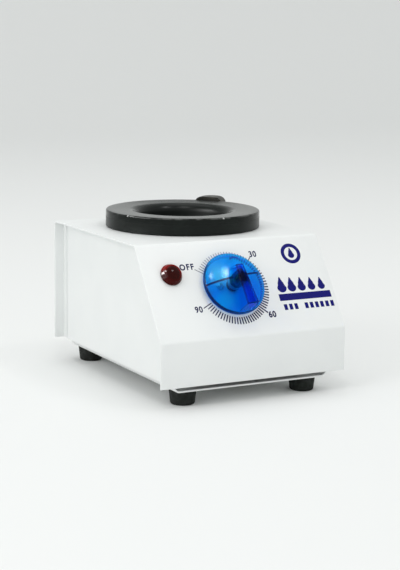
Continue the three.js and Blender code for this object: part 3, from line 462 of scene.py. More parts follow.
class Graph:
    """The nodes of one material."""

    def __init__(self, name: str) -> None:
        """Starts an empty material.

        Args:
            name: its name.
        """
        self.material = bpy.data.materials.new(name)
        self.material.use_nodes = True
        self.tree = self.material.node_tree
        self.tree.nodes.clear()

    def node(self, kind: str, settings: Optional[dict] = None, inputs: Optional[dict] = None,
             output: object = 0) -> Value:
        """Adds a node.

        Args:
            kind: the node's type.
            settings: its own settings, set first.
            inputs: values or links, by socket name or number.
            output: name or number of the output that is handed on.

        Returns:
            That output.
        """
        node = self.tree.nodes.new(kind)
        for name, value in (settings or {}).items():
            setattr(node, name, value)
        for name, value in (inputs or {}).items():
            socket = node.inputs[name]
            if isinstance(value, Value):
                self.tree.links.new(value.socket, socket)
            elif isinstance(value, tuple) and len(value) == 3 and socket.type == "RGBA":
                socket.default_value = (*value, 1)
            else:
                socket.default_value = value
        return Value(self, node.outputs[output] if len(node.outputs) else None)

    def maths(self, operation: str, *values: object) -> Value:
        """Adds a sum on numbers."""
        return self.node("ShaderNodeMath", {"operation": operation}, dict(enumerate(values)))

    def place(self, stretch: Place = (1, 1, 1), turn: Optional[Matrix] = None) -> Value:
        """Finds the place on the piece.

        Args:
            stretch: factors along the axes.
            turn: the frame that it is given in, if not the piece's own.

        Returns:
            The place, in millimetres.
        """
        at = self.node("ShaderNodeTexCoord", output="Object")
        if turn is not None:
            inverse = turn.inverted()
            at = self.node("ShaderNodeMapping", {"vector_type": "POINT"}, {
                "Vector": at, "Location": tuple(inverse.to_translation()),
                "Rotation": tuple(inverse.to_euler())})
        return self.node("ShaderNodeVectorMath", {"operation": "MULTIPLY"}, {
            0: at, 1: tuple(factor / MM for factor in stretch)})

    def parts(self, turn: Matrix) -> tuple[Value, Value, Value]:
        """Returns the three coordinates of the place in a frame."""
        node = self.node("ShaderNodeSeparateXYZ", None, {"Vector": self.place(turn=turn)}).socket.node
        return tuple(Value(self, node.outputs[axis]) for axis in "XYZ")

    def noise(self, grain: float, detail: float = 3, rough: float = 0.5,
              at: Optional[Value] = None) -> Value:
        """Returns soft cloud-like noise whose grain has a size in millimetres."""
        return self.node("ShaderNodeTexNoise", None, {
            "Vector": at or self.place(), "Scale": 1 / grain, "Detail": detail, "Roughness": rough})

    def step(self, value: Value, start: float, end: float) -> Value:
        """Returns a smooth rise from 0 to 1 as a value goes from a start to an end, up or down."""
        return self.node("ShaderNodeMapRange", {"interpolation_type": "SMOOTHSTEP"}, {
            0: value, 1: start, 2: end})

    def fade(self, value: Value, start: float, end: float) -> Value:
        """Returns a smooth fall from 1 to 0 as a value goes from a start to an end."""
        return 1 - self.step(value, start, end)

    def size(self, value: Value) -> Value:
        """Returns a value without its sign."""
        return self.maths("ABSOLUTE", value)

    def distance(self, x: Value, y: Value, middle: Place = (0, 0)) -> Value:
        """Returns the distance to a place in the plane of two coordinates."""
        return ((x - middle[0]) ** 2 + (y - middle[1]) ** 2) ** 0.5

    def spot(self, x: Value, y: Value, spot: Spot) -> Value:
        """Returns the mask of a spot."""
        return self.fade(self.distance(x, y, spot.middle), *spot.reach)

    def mix(self, part: object, first: object, second: object) -> Value:
        """Mixes two colours."""
        return self.node("ShaderNodeMix", {"data_type": "RGBA"}, {0: part, 6: first, 7: second}, 2)

    def layers(self, tone: object, *coats: tuple[Value, Tint]) -> Value:
        """Lays tints over a colour, one after another.

        Args:
            tone: the colour.
            coats: the mask and the tint of each.

        Returns:
            The colour that comes of it.
        """
        for mask, tint in coats:
            tone = self.mix(mask * tint.share, tone, tint.colour)
        return tone

    def bump(self, height: Value, depth: float) -> Value:
        """Returns a normal that follows a height of 0 to 1, whose depth is in millimetres."""
        return self.node("ShaderNodeBump", None, {"Height": height, "Distance": depth * MM, "Strength": 1})

    def surface(self, **inputs: object) -> bpy.types.Material:
        """Ends the graph in a surface shader.

        Args:
            inputs: socket names with an underscore for each space.

        Returns:
            The material.
        """
        shader = self.node("ShaderNodeBsdfPrincipled", None,
                           {name.replace("_", " "): value for name, value in inputs.items()})
        self.node("ShaderNodeOutputMaterial", None, {"Surface": shader})
        return self.material


# Finishes

@dataclass(frozen=True)
class Cloudy:
    """Finish whose colour and roughness drift like clouds, over a fine grain.

    Attributes:
        clouds: their size in millimetres, detail and roughness.
        span: heights of the clouds at which the shade starts and reaches its share.
        roughness: the least roughness, and what is added to it at most.
        drift: size in millimetres of the noise that adds it, or 0 where the clouds do.
        grain: its size in millimetres, detail and roughness.
    """

    name: str
    colour: Colour
    shade: Colour
    clouds: Place = (8, 4, 0.5)
    span: Place = (0.35, 0.75)
    share: float = 1
    roughness: Place = (0.4, 0.14)
    drift: float = 0
    coat: float = 0
    specular: float = 0.5
    metallic: float = 0
    grain: Place = (0.5, 3, 0.5)
    stretch: Place = (1, 1, 1)
    depth: float = 0.03

    def patches(self, graph: Graph, cloud: Value) -> Value:
        """Returns the mask of the shade."""
        return graph.step(cloud, *self.span) * self.share

    def relief(self, graph: Graph) -> Value:
        """Returns the height that the surface follows."""
        return graph.noise(*self.grain, graph.place(self.stretch))

    def dullness(self, graph: Graph, cloud: Value, relief: Value) -> Value:
        """Returns what the roughness follows."""
        return graph.noise(self.drift) if self.drift else cloud

    def make(self) -> bpy.types.Material:
        """Builds the nodes.

        Returns:
            The material.
        """
        graph = Graph(self.name)
        cloud, relief = graph.noise(*self.clouds), self.relief(graph)
        least, more = self.roughness
        return graph.surface(
            Base_Color=graph.mix(self.patches(graph, cloud), self.colour, self.shade),
            Metallic=self.metallic,
            Roughness=least + self.dullness(graph, cloud, relief) * more,
            Specular_IOR_Level=self.specular,
            Coat_Weight=graph.step(cloud, 0.3, 0.7) * self.coat if self.coat else 0,
            Normal=graph.bump(relief, self.depth))


@dataclass(frozen=True)
class Enamel(Cloudy):
    """Baked enamel on sheet steel, with a faint orange peel and specks of dust."""

    def patches(self, graph: Graph, cloud: Value) -> Value:
        """Returns the mask of the shade, with the specks in it."""
        return super().patches(graph, cloud) + graph.step(graph.noise(0.5, 1), 0.7, 0.78) * 0.25


@dataclass(frozen=True)
class Rubber(Cloudy):
    """Black moulded rubber with a dull bloom, fine grain and faint level lines."""

    def relief(self, graph: Graph) -> Value:
        """Returns the grain with the lines in it."""
        return super().relief(graph) * 0.6 + graph.noise(0.9, 2, at=graph.place((0.2, 0.2, 2.4))) * 0.4


@dataclass(frozen=True)
class Plastic(Cloudy):
    """Opaque moulded plastic with a texture of fine cells."""

    def relief(self, graph: Graph) -> Value:
        """Returns the distance to the middle of each cell."""
        return graph.node("ShaderNodeTexVoronoi", None, {
            "Vector": graph.place(), "Scale": 1 / self.grain[0]}, "Distance")


@dataclass(frozen=True)
class BandCover(Cloudy):
    """Steel cover of the band heater, blued by heat and crimped round its mica."""

    def relief(self, graph: Graph) -> Value:
        """Adds the crimps to the grain.

        Args:
            graph: the material's nodes.

        Returns:
            The height that the surface follows.
        """
        crimp = graph.node("ShaderNodeTexWave", {"bands_direction": "Z", "wave_profile": "SIN"}, {
            "Vector": graph.place(), "Scale": 0.04, "Distortion": 0.6}, "Fac")
        return crimp * 0.7 + super().relief(graph) * 0.3


@dataclass(frozen=True)
class Metal(Cloudy):
    """Bare, rolled or plated metal, whose grain is in its gloss too."""

    clouds: Place = (6, 5, 0.65)
    span: Place = (0.45, 0.8)
    share: float = 0.7
    roughness: Place = (0.26, 0.16)
    metallic: float = 0.95
    grain: Place = (0.7, 3, 0.6)
    depth: float = 0.02

    def dullness(self, graph: Graph, cloud: Value, relief: Value) -> Value:
        """Returns what the roughness follows."""
        return relief


@dataclass(frozen=True)
class SpunMetal(Metal):
    """Metal with the fine rings of spinning, about an upright axis at X and Y in metres."""

    grain: Place = (0.35, 4, 0.7)
    axis: Place = (0, 0)

    def relief(self, graph: Graph) -> Value:
        """Makes the rings.

        Args:
            graph: the material's nodes.

        Returns:
            The height that the surface follows.
        """
        x, y, z = graph.parts(Matrix.Translation((*self.axis, 0)))
        at = graph.node("ShaderNodeCombineXYZ", None, {0: graph.distance(x, y), 1: z})
        return graph.noise(*self.grain, at)


@dataclass(frozen=True)
class PotCoat:
    """Black baked coat on a cast pot, pale along the rim's edge from wear and a painted highlight, and
    chipped in places.

    Each pair of sizes gives the distances between which a patch starts or ends: the pale edge of wear and
    painted highlight, a chip, the rim's top from under it, the bore, and the back and flanks along and across
    the way backwards.
    """

    axis: Matrix
    edge_radius: float = 71.9
    edge_height: float = 152.1
    edge_reach: Place = (0.4, 1.5)
    chips: Sequence[float] = (198.5, 273.5, 41, 120)
    chip_reach: Place = (0.7, 1.1)
    mouth: Place = (7, 2.5)
    bore: Place = (54, 62)
    backwards: Place = (0.47, 0.88)
    back: Place = (20, 62)
    flank: Place = (40, 66)
    colour: Colour = (0.0045, 0.0065, 0.0055)
    wear_and_highlight_tint: Tint = Tint((0.3, 0.31, 0.3), 0.22)
    metal: Tint = Tint((0.62, 0.63, 0.62))

    def make(self) -> bpy.types.Material:
        """Builds the nodes.

        Returns:
            The material.
        """
        graph = Graph("black_pot_coat")
        x, y, z = graph.parts(self.axis)
        radius = graph.distance(x, y)
        edge = graph.fade(graph.distance(radius, z, (self.edge_radius, self.edge_height)), *self.edge_reach)
        # pale band along the rim's edge: partly wear, partly a painted highlight
        worn_edge_and_highlight = edge * graph.step(graph.noise(9, detail=4), 0.4, 0.62)
        chip = edge * graph.step(graph.noise(3.1, detail=2), 0.7, 0.73)
        for angle in map(math.radians, self.chips):
            middle = (self.edge_radius * math.cos(angle), self.edge_radius * math.sin(angle))
            chip = graph.maths("MAXIMUM", chip, edge * graph.fade(
                graph.distance(x, y, middle), *self.chip_reach))
        inside = graph.fade(z, *(self.edge_height - depth for depth in self.mouth))
        across, along = self.backwards
        back = graph.step(x * across + y * along, *self.back) * (1 - inside)
        flank = graph.step(graph.size(x * along - y * across), *self.flank) * (1 - inside)
        streak = graph.noise(1.4, 2, at=graph.place((1, 1, 0.25)))
        cloud = graph.noise(16, detail=4)
        tone = graph.mix(graph.step(cloud, 0.35, 0.75), self.colour, tuple(c * 1.7 for c in self.colour))
        return graph.surface(
            Base_Color=graph.layers(tone, (worn_edge_and_highlight, self.wear_and_highlight_tint), (chip, self.metal)),
            Metallic=chip,
            Roughness=(0.1 + cloud * 0.05 + streak * 0.04
                       + inside * (0.16 + graph.fade(radius, *self.bore) * 0.14)
                       + back * 0.14 - flank * 0.07),
            Specular_IOR_Level=0.16,
            Normal=graph.bump(graph.noise(0.45, detail=3, rough=0.6), 0.012))


@dataclass(frozen=True)
class ClearBlue:
    """Clear blue moulding of the knob, with light and shade painted into its colour: lit where its dome
    gathers light, and dark where it is seen edge on.

    Attributes:
        fin: half widths of the fin's crest, its ends and its height.
        line: height on the dome of the rib's line, and its slope.
        away: the level direction in which the dome's far side lies.
    """

    axis: Matrix
    radius: float
    rim: float
    crown: float
    fin: Place
    line: Place
    colour: Colour = (0.006, 0.52, 1.0)
    # painted shade: a darker, more saturated blue laid over the dome's lower side
    lower_shade: Tint = Tint((0.001, 0.38, 0.98))
    # painted light: a soft patch of paler cyan low on the dome's left, where light gathers
    painted_light_pool: Spot = Spot((0.001, 0.62, 1.0), 0.85, (-17, -17), (2, 13))
    # painted shade: a dark soft patch on the dome where the hub shows through, with its shadow painted below
    # it
    painted_hub_shade: Spot = Spot((0.004, 0.12, 0.5), 0.6, (-7.5, -7), (2, 6.5))
    # painted light: a pale cyan glow on the dome's upper left round its highlights, where the coat is laid
    # heavier too so that they show
    painted_glow: Spot = Spot((0.06, 0.8, 1.0), 0.8, (-14, 8), (2, 15))
    rib: Tint = Tint((0.002, 0.07, 0.5), 0.8)
    side: Tint = Tint((0.002, 0.2, 0.8), 0.7)
    # painted reflection: a paler, greyer blue on the fin's tail face
    tail: Tint = Tint((0.06, 0.36, 0.9), 0.8)
    crest: Tint = Tint((0.003, 0.12, 0.66))
    outline: Tint = Tint((0.001, 0.012, 0.11), 0.8)
    far_edge: Tint = Tint((0.001, 0.012, 0.11), 0.9)
    hub: Spot = Spot((0.005, 0.012, 0.13), 0.85, (0, -2), (3.8, 6.5))
    skirt: Tint = Tint((0.001, 0.012, 0.11))
    # painted light: paler blue along the foot of the skirt, for the light that passes through the knob onto
    # the panel under it
    painted_light_band: Tint = Tint((0.02, 0.42, 0.9))
    away: Place = (0.75, 0.65)
    clearness: float = 0.92

    def fin_masks(self, graph: Graph, x: Value, y: Value, z: Value) -> tuple[Value, Value, Value]:
        """Finds the fin.

        Args:
            graph: the material's nodes.
            x: first coordinate of the place in the knob's frame.
            y: second coordinate.
            z: third coordinate.

        Returns:
            Masks of all that rises over the dome, of the crest, and of the crest's border.
        """
        dome = self.rim + (self.crown - self.rim) * graph.maths(
            "SQRT", graph.maths("MAXIMUM", 1 - (x * x + y * y) / self.radius ** 2, 0))
        head, tail, front, back, top = self.fin
        half = head + (front - y) * ((tail - head) / (front - back))
        inwards = graph.maths("MINIMUM", half - graph.size(x), graph.maths("MINIMUM", front - y, y - back))
        crest = graph.step(z, top - 1.5, top - 0.5)
        return graph.step(z - dome, 0.4, 2.5), crest, crest * graph.fade(inwards, 0.6, 1.7)

    def make(self) -> bpy.types.Material:
        """Builds the nodes.

        Returns:
            The material.
        """
        graph = Graph("clear_blue_moulding")
        flow = graph.noise(11, detail=3)
        x, y, z = graph.parts(self.axis)
        rise, crest, border = self.fin_masks(graph, x, y, z)
        flat = 1 - rise
        # painted shade: the dome darkens towards its lower side
        low = graph.step(y, 0.5 * self.radius, -0.3 * self.radius) * (0.75 + flow * 0.25)
        # masks of the painted light and shade on the dome: a lit patch low on the left, the hub's shade, and
        # the glow at the upper left
        painted_light_pool, painted_hub_shade, painted_glow = (graph.spot(x, y, spot) * flat for spot in (self.painted_light_pool, self.painted_hub_shade, self.painted_glow))
        rib = graph.fade(graph.size(y - self.line[0] - x * self.line[1]), 0.35, 1.1) * flat
        # painted reflection on the fin's tail face
        tail = rise * graph.fade(y - self.fin[3], 0.3, 1.2)
        far_side = graph.step(x * self.away[0] + y * self.away[1], 8, -6)
        far_edge = far_side * graph.step(graph.distance(x, y), self.radius - 1.5, self.radius - 0.7) * flat
        hub = rise * graph.spot(x, y, self.hub)
        skirt = far_side * graph.fade(z, self.rim + 0.3, self.rim + 0.9)
        # painted light along the foot of the skirt
        painted_light_band = graph.fade(z, self.rim - 2.2, self.rim - 1.6)
        tone = graph.layers(self.colour, (low, self.lower_shade), (painted_light_pool, self.painted_light_pool), (painted_hub_shade, self.painted_hub_shade),
                            (painted_glow, self.painted_glow), (rib, self.rib), (rise, self.side), (tail, self.tail),
                            (crest, self.crest), (border, self.outline))
        tone = graph.mix(graph.maths("MAXIMUM", far_edge * self.far_edge.share, hub * self.hub.share), tone,
                         graph.mix(hub, self.far_edge.colour, self.hub.colour))
        return graph.surface(
            Base_Color=graph.layers(tone, (skirt, self.skirt), (painted_light_band, self.painted_light_band)),
            Roughness=0.16 + flow * 0.06,
            IOR=1.09,
            Transmission_Weight=self.clearness,
            Coat_Weight=painted_glow * 0.85 + flat * 0.1,
            Coat_Roughness=0.21,
            Normal=graph.bump(graph.noise(2.5, detail=1), 0.01))


@dataclass(frozen=True)
class ClearRed:
    """Clear red moulding of the lamp's lens: nearly black in its middle, red at its upper edge.

    Each pair of sizes gives the distances between which a patch starts or ends.
    """

    axis: Matrix
    middle: Colour = (0.022, 0.0025, 0.0015)
    rim: Colour = (0.26, 0.004, 0.003)
    edge: Place = (5.4, 8)
    upper: Place = (-5, 4)
    gleam_end: Place = (-7.5, -5.5)
    gleam_half: Place = (3, 5)

    def make(self) -> bpy.types.Material:
        """Builds the nodes.

        Returns:
            The material.
        """
        graph = Graph("clear_red_moulding")
        x, y, _ = graph.parts(self.axis)
        upper = graph.step(y + x * 0.4, *self.upper)
        edge = graph.step(graph.distance(x, y), *self.edge) * (upper * 0.9 + 0.1)
        haze = graph.noise(3, detail=3)
        gleam = graph.fade(x, *self.gleam_end) * graph.fade(graph.size(y), *self.gleam_half)
        return graph.surface(
            Base_Color=graph.layers(self.middle, (haze, Tint(self.rim, 0.12)), (edge, Tint(self.rim))),
            Roughness=0.06 + haze * 0.06,
            IOR=1.17,
            Transmission_Weight=0.2,
            Coat_Weight=gleam * 0.95 + 0.02,
            Coat_Roughness=0.05,
            Normal=graph.bump(graph.noise(2.2, detail=1), 0.02))


@dataclass(frozen=True)
class FloorPaper:
    """Pale studio paper under and behind the object."""

    colour: Colour = (0.838, 0.848, 0.842)

    def make(self) -> bpy.types.Material:
        """Builds the nodes.

        Returns:
            The material.
        """
        graph = Graph("pale_paper")
        shade = tuple(c * 0.99 for c in self.colour)
        return graph.surface(Base_Color=graph.mix(graph.noise(2) * 0.3, self.colour, shade),
                             Roughness=0.85, Specular_IOR_Level=0.1)


def plastic(name: str, colour: Colour, roughness: float) -> Plastic:
    """Returns a moulded plastic of one colour."""
    return Plastic(name, colour, tuple(c * 0.82 + 0.012 for c in colour), roughness=(roughness, 0.14))


def sleeve(name: str, colour: Colour) -> Cloudy:
    """Returns the soft insulation of a lead."""
    return Cloudy(name, colour, tuple(c * 0.7 for c in colour), (4, 4, 0.5), (0.4, 0.8),
                  roughness=(0.5, 0.15), grain=(0.4, 3, 0.5))


def deep_blue(name: str, colour: Colour, shade: Colour) -> Cloudy:
    """Returns thick blue moulding inside the knob."""
    return Cloudy(name, colour, shade, (5, 3, 0.5), (0.35, 0.65), roughness=(0.3, 0.15), specular=0.15,
                  grain=(1.2, 3, 0.5), depth=0.01)


def ink(name: str, colour: Colour, thin: Colour) -> Cloudy:
    """Returns printed ink, thin in places."""
    return Cloudy(name, colour, thin, (0.9, 4, 0.7), (0.42, 0.8), roughness=(0.38, 0.15), specular=0.12,
                  grain=(0.9, 4, 0.7), depth=0.01)


ENAMEL = Enamel("white_enamel_coat", (0.82, 0.838, 0.832), (0.795, 0.815, 0.811), (38, 2, 0.5), (0.35, 0.7),
                0.6, (0.34, 0.1), 9, specular=0.34, grain=(1.3, 1, 0.4), depth=0.02)
RESIN = Cloudy("dark_grip_resin", (0.012, 0.0115, 0.008), (0.04, 0.037, 0.024), (7, 6, 0.7), (0.42, 0.72),
               1, (0.32, 0.14), 2.5, 0.1, 0.2, grain=(0.6, 3, 0.5), depth=0.02)
BLACK_RUBBER = Rubber("black_foot_rubber", (0.0105, 0.0125, 0.0105), (0.035, 0.04, 0.038), (5, 5, 0.65),
                      (0.4, 0.75), 0.7, (0.62, 0.25), specular=0.15, grain=(0.3, 3, 0.5), depth=0.06)
BAND_COVER = BandCover("mica_band_cover", (0.42, 0.39, 0.35), (0.16, 0.14, 0.17), (14, 5, 0.6), (0.4, 0.7),
                       roughness=(0.38, 0.2), metallic=0.8, grain=(1.1, 3, 0.5), depth=0.1)
STEEL = Metal("zinc_plated_steel", (0.6, 0.61, 0.62), (0.4, 0.4, 0.38))
BRASS = Metal("turned_brass", (0.66, 0.47, 0.17), (0.42, 0.27, 0.1), roughness=(0.24, 0.16))
COPPER = Metal("drawn_copper", (0.74, 0.38, 0.23), (0.4, 0.2, 0.13))
STEEL_SHEET = Metal("rolled_steel_sheet", (0.58, 0.59, 0.6), (0.4, 0.39, 0.36), roughness=(0.3, 0.16),
                    grain=(0.5, 4, 0.7), stretch=(1, 0.06, 1))
BLACK_PLASTIC = plastic("black_moulded_plastic", (0.013, 0.013, 0.015), 0.4)
CREAM_PLASTIC = plastic("cream_moulded_plastic", (0.7, 0.68, 0.6), 0.36)
MATERIALS: dict[str, bpy.types.Material] = {}


def material_of(finish: object) -> bpy.types.Material:
    """Makes a finish's material, or finds it where it is made already.

    Args:
        finish: the finish.

    Returns:
        Its material.
    """
    key = repr(finish)
    if key not in MATERIALS:
        MATERIALS[key] = finish.make()
    return MATERIALS[key]


def dress(finish: object, *nodes: str) -> None:
    """Gives carried-over nodes of the frame a finish.

    Args:
        finish: the finish.
        nodes: the nodes' names.
    """
    for name in nodes:
        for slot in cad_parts[name].material_slots:
            slot.material = material_of(finish)
        LOG.info("dressed %s", name)


def settle(blank: Blank, name: str, matrix: Matrix, body: Body, finish: object,
           nodes: Iterable[str] = (), angle: float = 35) -> None:
    """Sets a finished piece in place and hands it to the frame.

    Args:
        blank: the piece, in millimetres in its own frame.
        name: its name.
        matrix: its frame, in metres.
        body: the body that it rides on.
        finish: its finish.
        nodes: nodes of the frame that it stands for.
        angle: sharpest turn that is shaded smooth, in degrees.
    """
    piece = blank.place(matrix @ IN_METRES).object
    piece.name = piece.data.name = name
    blank.activate()
    bpy.ops.object.shade_smooth_by_angle(angle=math.radians(angle))
    piece.data.materials.clear()
    piece.data.materials.append(material_of(finish))
    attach(piece, body.value)
    if nodes:
        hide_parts(*nodes)
    LOG.info("made %s, %d faces", name, len(piece.data.polygons))


# Sub-assemblies

@dataclass
class Frames:
    """Frames of the sub-assemblies, in metres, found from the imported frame, and places that they share."""

    lip_top: float = 58.6
    slope_run: float = 53.3
    slope_rise: float = 77.6
    dial: Place = (-9.4, 48.9)
    dial_turn: float = 3.9
    lamp: Place = (-65.5, 63.5)
    gland: Place = (52, 230, 47.2)
    grip_turn: float = 42
    foot_x: float = 60.8
    foot_y: Place = (21, 214)
    well_screw_circle: float = 57
    thermostat_screw_x: float = 12

    def __post_init__(self) -> None:
        """Works the matrices and the shared places out."""
        low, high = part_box("heater_well")
        self.case = Matrix.Translation((0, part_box("cover_shell")[0][1], 0))
        self.top = self.lip_top + self.slope_rise
        tilt = math.degrees(math.atan2(self.slope_rise, self.slope_run))
        self.slope = self.shifted(self.case, 0, 0, self.lip_top) @ turned_about("X", tilt)
        self.shaft = self.shifted(self.slope, *self.dial, 0)
        self.knob = self.shaft @ turned_about("Z", self.dial_turn)
        self.lens = self.shifted(self.slope, *self.lamp, 0)
        self.outlet = self.shifted(self.case, *self.gland) @ turned_about("X", -90)
        self.well = Matrix.Translation(((low[0] + high[0]) / 2, (low[1] + high[1]) / 2, 0))
        self.pot = self.well @ turned_about("Z", self.grip_turn)
        self.feet = {f"{end}_{side}": (x, y)
                     for side, x in (("left", -self.foot_x), ("right", self.foot_x))
                     for end, y in zip(("front", "rear"), self.foot_y)}
        self.well_screws = dict(enumerate(on_arc((0, 0), [self.well_screw_circle] * 2, 45, 315, 3), 1))
        self.thermostat_screws = {"left": (-self.thermostat_screw_x, 0),
                                  "right": (self.thermostat_screw_x, 0)}

    @staticmethod
    def shifted(matrix: Matrix, x: float, y: float, z: float) -> Matrix:
        """Returns a frame moved by millimetres in itself."""
        return matrix @ Matrix.Translation((x * MM, y * MM, z * MM))


@dataclass
class Case:
    """Folded cover, side panels and base pan.

    The pan's holes are for the terminal block's and the earth's screws, as X, Y and radius.
    """

    frames: Frames
    half_width: float = 92.5
    depth: float = 230
    lip_low: float = 19.2
    back_low: float = 21.8
    wall: float = 1.6
    bend: float = 4
    edge: float = 0.35
    side_x: float = 83.2
    seam_y: float = 221.3
    well_hole: float = 49.7
    well_screw_hole: float = 2
    shaft_hole: float = 5.5
    thermostat_screw_hole: float = 2.2
    lamp_hole: float = 6.3
    gland_hole: float = 7.9
    pan_half: float = 77.5
    pan_ends: Place = (5, 224)
    pan_low: float = 13.6
    pan_rim: float = 21.2
    pan_bend: float = 6
    boss_radius: float = 5
    boss_top: float = 21.5
    foot_screw_hole: float = 2.4
    pan_holes: Sequence[Place] = ((-35, 78, 1.9), (10, 45, 2.4))

    @staticmethod
    def across(y: float, z: float) -> Test:
        """Returns the test for an edge that runs across the case at a place."""
        return lambda at, way: abs(way.x) > 0.9 and abs(at.y - y) + abs(at.z - z) < NEAR

    def strip(self) -> Blank:
        """Makes the folded strip: a lip, a slope, a top and a back, extruded one from another.

        Returns:
            The strip, without a thickness.
        """
        lip_top, top = self.frames.lip_top, self.frames.top
        corners = [(0, self.lip_low), (0, lip_top), (self.frames.slope_run, top), (self.depth, top),
                   (self.depth, self.back_low)]
        blank = Blank.sheet(2 * self.half_width, lip_top - self.lip_low,
                            moved(0, 0, (self.lip_low + lip_top) / 2) @ turned_about("X", 90))
        with blank.editing():
            for (y0, z0), (y1, z1) in zip(corners[1:], corners[2:]):
                blank.pick(Element.EDGES, self.across(y0, z0))
                blank.extrude(Vector((0, y1 - y0, z1 - z0)))
            blank.tidy()
        for last, here, following in zip(corners, corners[1:], corners[2:]):
            fold = (Vector(here) - Vector(last)).angle(Vector(following) - Vector(here))
            blank.bevel_edges(self.across(*here), self.bend * math.tan(fold / 2), 10)
        return blank

    def cover(self) -> None:
        """Builds the cover with its holes and its returns at the back."""
        blank = self.strip()
        top = self.frames.top
        with blank.editing():
            faces = blank.pick(Element.FACES, lambda at, way: at.z > top - 0.1 and way.z < 0)
            bpy.ops.mesh.select_all(action="SELECT")
            if faces:
                bpy.ops.mesh.flip_normals()
        blank.thicken(self.wall, -1, self.edge)
        middle = self.wall / 2
        returns = [Blank.box(sorted((side * self.side_x, side * (self.side_x - self.wall))),
                             (self.seam_y, self.depth - middle), (self.back_low, top - middle))
                   for side in (-1, 1)]
        blank.combine(Merge.JOIN, *returns)
        blank.combine(Merge.CUT, Blank.gather(self.holes()))
        settle(blank, "folded_cover", self.frames.case, Body.CASE, ENAMEL, ["cover_shell"])

    def holes(self) -> list[Blank]:
        """Makes the rods that cut the cover's holes.

        Returns:
            The rods, in the case's frame.
        """
        frames = self.frames
        to_case = Matrix.Diagonal([1 / MM] * 3 + [1]) @ frames.case.inverted()
        well, shaft, lens = (to_case @ matrix @ IN_METRES
                             for matrix in (frames.well, frames.shaft, frames.lens))
        holes = [(self.well_hole, 96, frames.top, well),
                 *((self.well_screw_hole, 24, frames.top, well @ moved(*spot))
                   for spot in frames.well_screws.values()),
                 (self.shaft_hole, 48, 0, shaft),
                 *((self.thermostat_screw_hole, 24, 0, shaft @ moved(*spot))
                   for spot in frames.thermostat_screws.values()),
                 (self.lamp_hole, 48, 0, lens),
                 (self.gland_hole, 48, 0, moved(*frames.gland) @ turned_about("X", -90))]
        return [Blank.rod(radius, (face - self.wall - 1, face + 1), sides).place(matrix)
                for radius, sides, face, matrix in holes]

    def pan(self) -> None:
        """Builds the channel-shaped base pan with its bosses."""
        low, high = self.pan_ends
        blank = Blank.sheet(2 * self.pan_half, high - low, moved(0, (low + high) / 2, self.pan_low))
        with blank.editing():
            for side in (-1, 1):
                blank.pick(Element.EDGES, lambda at, way: abs(at.x - side * self.pan_half) < NEAR)
                blank.extrude(Vector((0, 0, self.pan_rim - self.pan_low)))
        blank.bevel_edges(lambda at, way: abs(abs(at.x) - self.pan_half) < NEAR
                          and abs(at.z - self.pan_low) < NEAR, self.pan_bend, 12)
        blank.thicken(self.wall, 1, self.edge)
        feet = self.frames.feet.values()
        through = (0, 30)
        bores = [Blank.rods([(x, y)], radius, through) for x, y, radius in self.pan_holes]
        blank.combine(Merge.JOIN, Blank.rods(feet, self.boss_radius, (
            self.pan_low + self.wall / 2, self.boss_top), 48))
        blank.combine(Merge.CUT, Blank.gather([Blank.rods(feet, self.foot_screw_hole, through), *bores]))
        settle(blank, "base_channel", self.frames.case, Body.CASE, ENAMEL, ["base_pan"])

    def build(self) -> None:
        """Builds and dresses the case."""
        self.cover()
        self.pan()
        dress(ENAMEL, "side_panel_left", "side_panel_right")


@dataclass(frozen=True)
class Screw:
    """Cross-headed screw with its head up; its radius and length are the shank's."""

    head_radius: float
    head_height: float
    radius: float
    length: float

    def make(self) -> Blank:
        """Makes the screw from its outline and cuts its cross.

        Returns:
            The screw, its head's underside at height 0.
        """
        wide, high = self.head_radius, self.head_height
        blank = Blank.spun([(0, -self.length), (self.radius * 0.8, -self.length),
                            (self.radius, -self.length + self.radius * 0.4), (self.radius, 0),
                            (wide, 0, high * 0.1), (wide, high * 0.62, high * 0.3),
                            (wide * 0.5, high), (0, high)], steps=32, round_steps=4)
        arm, wing = wide * 0.62, wide * 0.16
        depth = (high * 0.3, high + 1)
        return blank.combine(Merge.CUT, Blank.box((-arm, arm), (-wing, wing), depth),
                             Blank.box((-wing, wing), (-arm, arm), depth))

    def fix(self, seat: float, matrix: Matrix, name: str, node: str, spots: dict[object, Place]) -> None:
        """Builds the screw and sets a copy in the case at each of its places.

        Args:
            seat: height of its head's underside.
            matrix: the frame that it stands in, in metres.
            name: the pieces' name, before the place's.
            node: the name of the nodes that they stand for, before the place's.
            spots: the places, by name.
        """
        screw = self.make().place(moved(0, 0, seat))
        for key, spot in spots.items():
            settle(screw.copy(moved(*spot)), f"{name}_{key}", matrix, Body.CASE, STEEL,
                   [f"{node}_{key}"])
        screw.remove()


@dataclass
class Feet:
    """Four moulded rubber feet, each held by a screw from below."""

    frames: Frames
    top_radius: float = 12.2
    sole_radius: float = 10.7
    height: float = 13.3
    edge: float = 1.9
    recess: Place = (4.8, 4.2)
    bore: float = 2.4
    screw: Screw = Screw(3.8, 2.4, 2, 24.6)
    screw_seat: float = 3.9

    def build(self) -> None:
        """Builds one foot and one screw and copies them."""
        recess, roof = self.recess
        foot = Blank.spun([(recess, 0, 0.3), (self.sole_radius, 0, self.edge),
                           (self.top_radius, self.height, 0.5), (self.bore, self.height),
                           (self.bore, roof), (recess, roof)], closed=True, steps=72)
        screw = self.screw.make().place(moved(0, 0, self.screw_seat) @ turned_about("X", 180))
        for corner, spot in self.frames.feet.items():
            for blank, name, slot, finish, node in (
                    (foot, "rubber_foot", "black_rubber", BLACK_RUBBER, "foot"),
                    (screw, "foot_fixing", "zinc_steel", STEEL, "foot_screw")):
                settle(blank.copy(moved(*spot)), f"{name}_{corner}", self.frames.case, Body.CASE,
                       finish, [f"{node}_{corner}"])
        foot.remove()
        screw.remove()


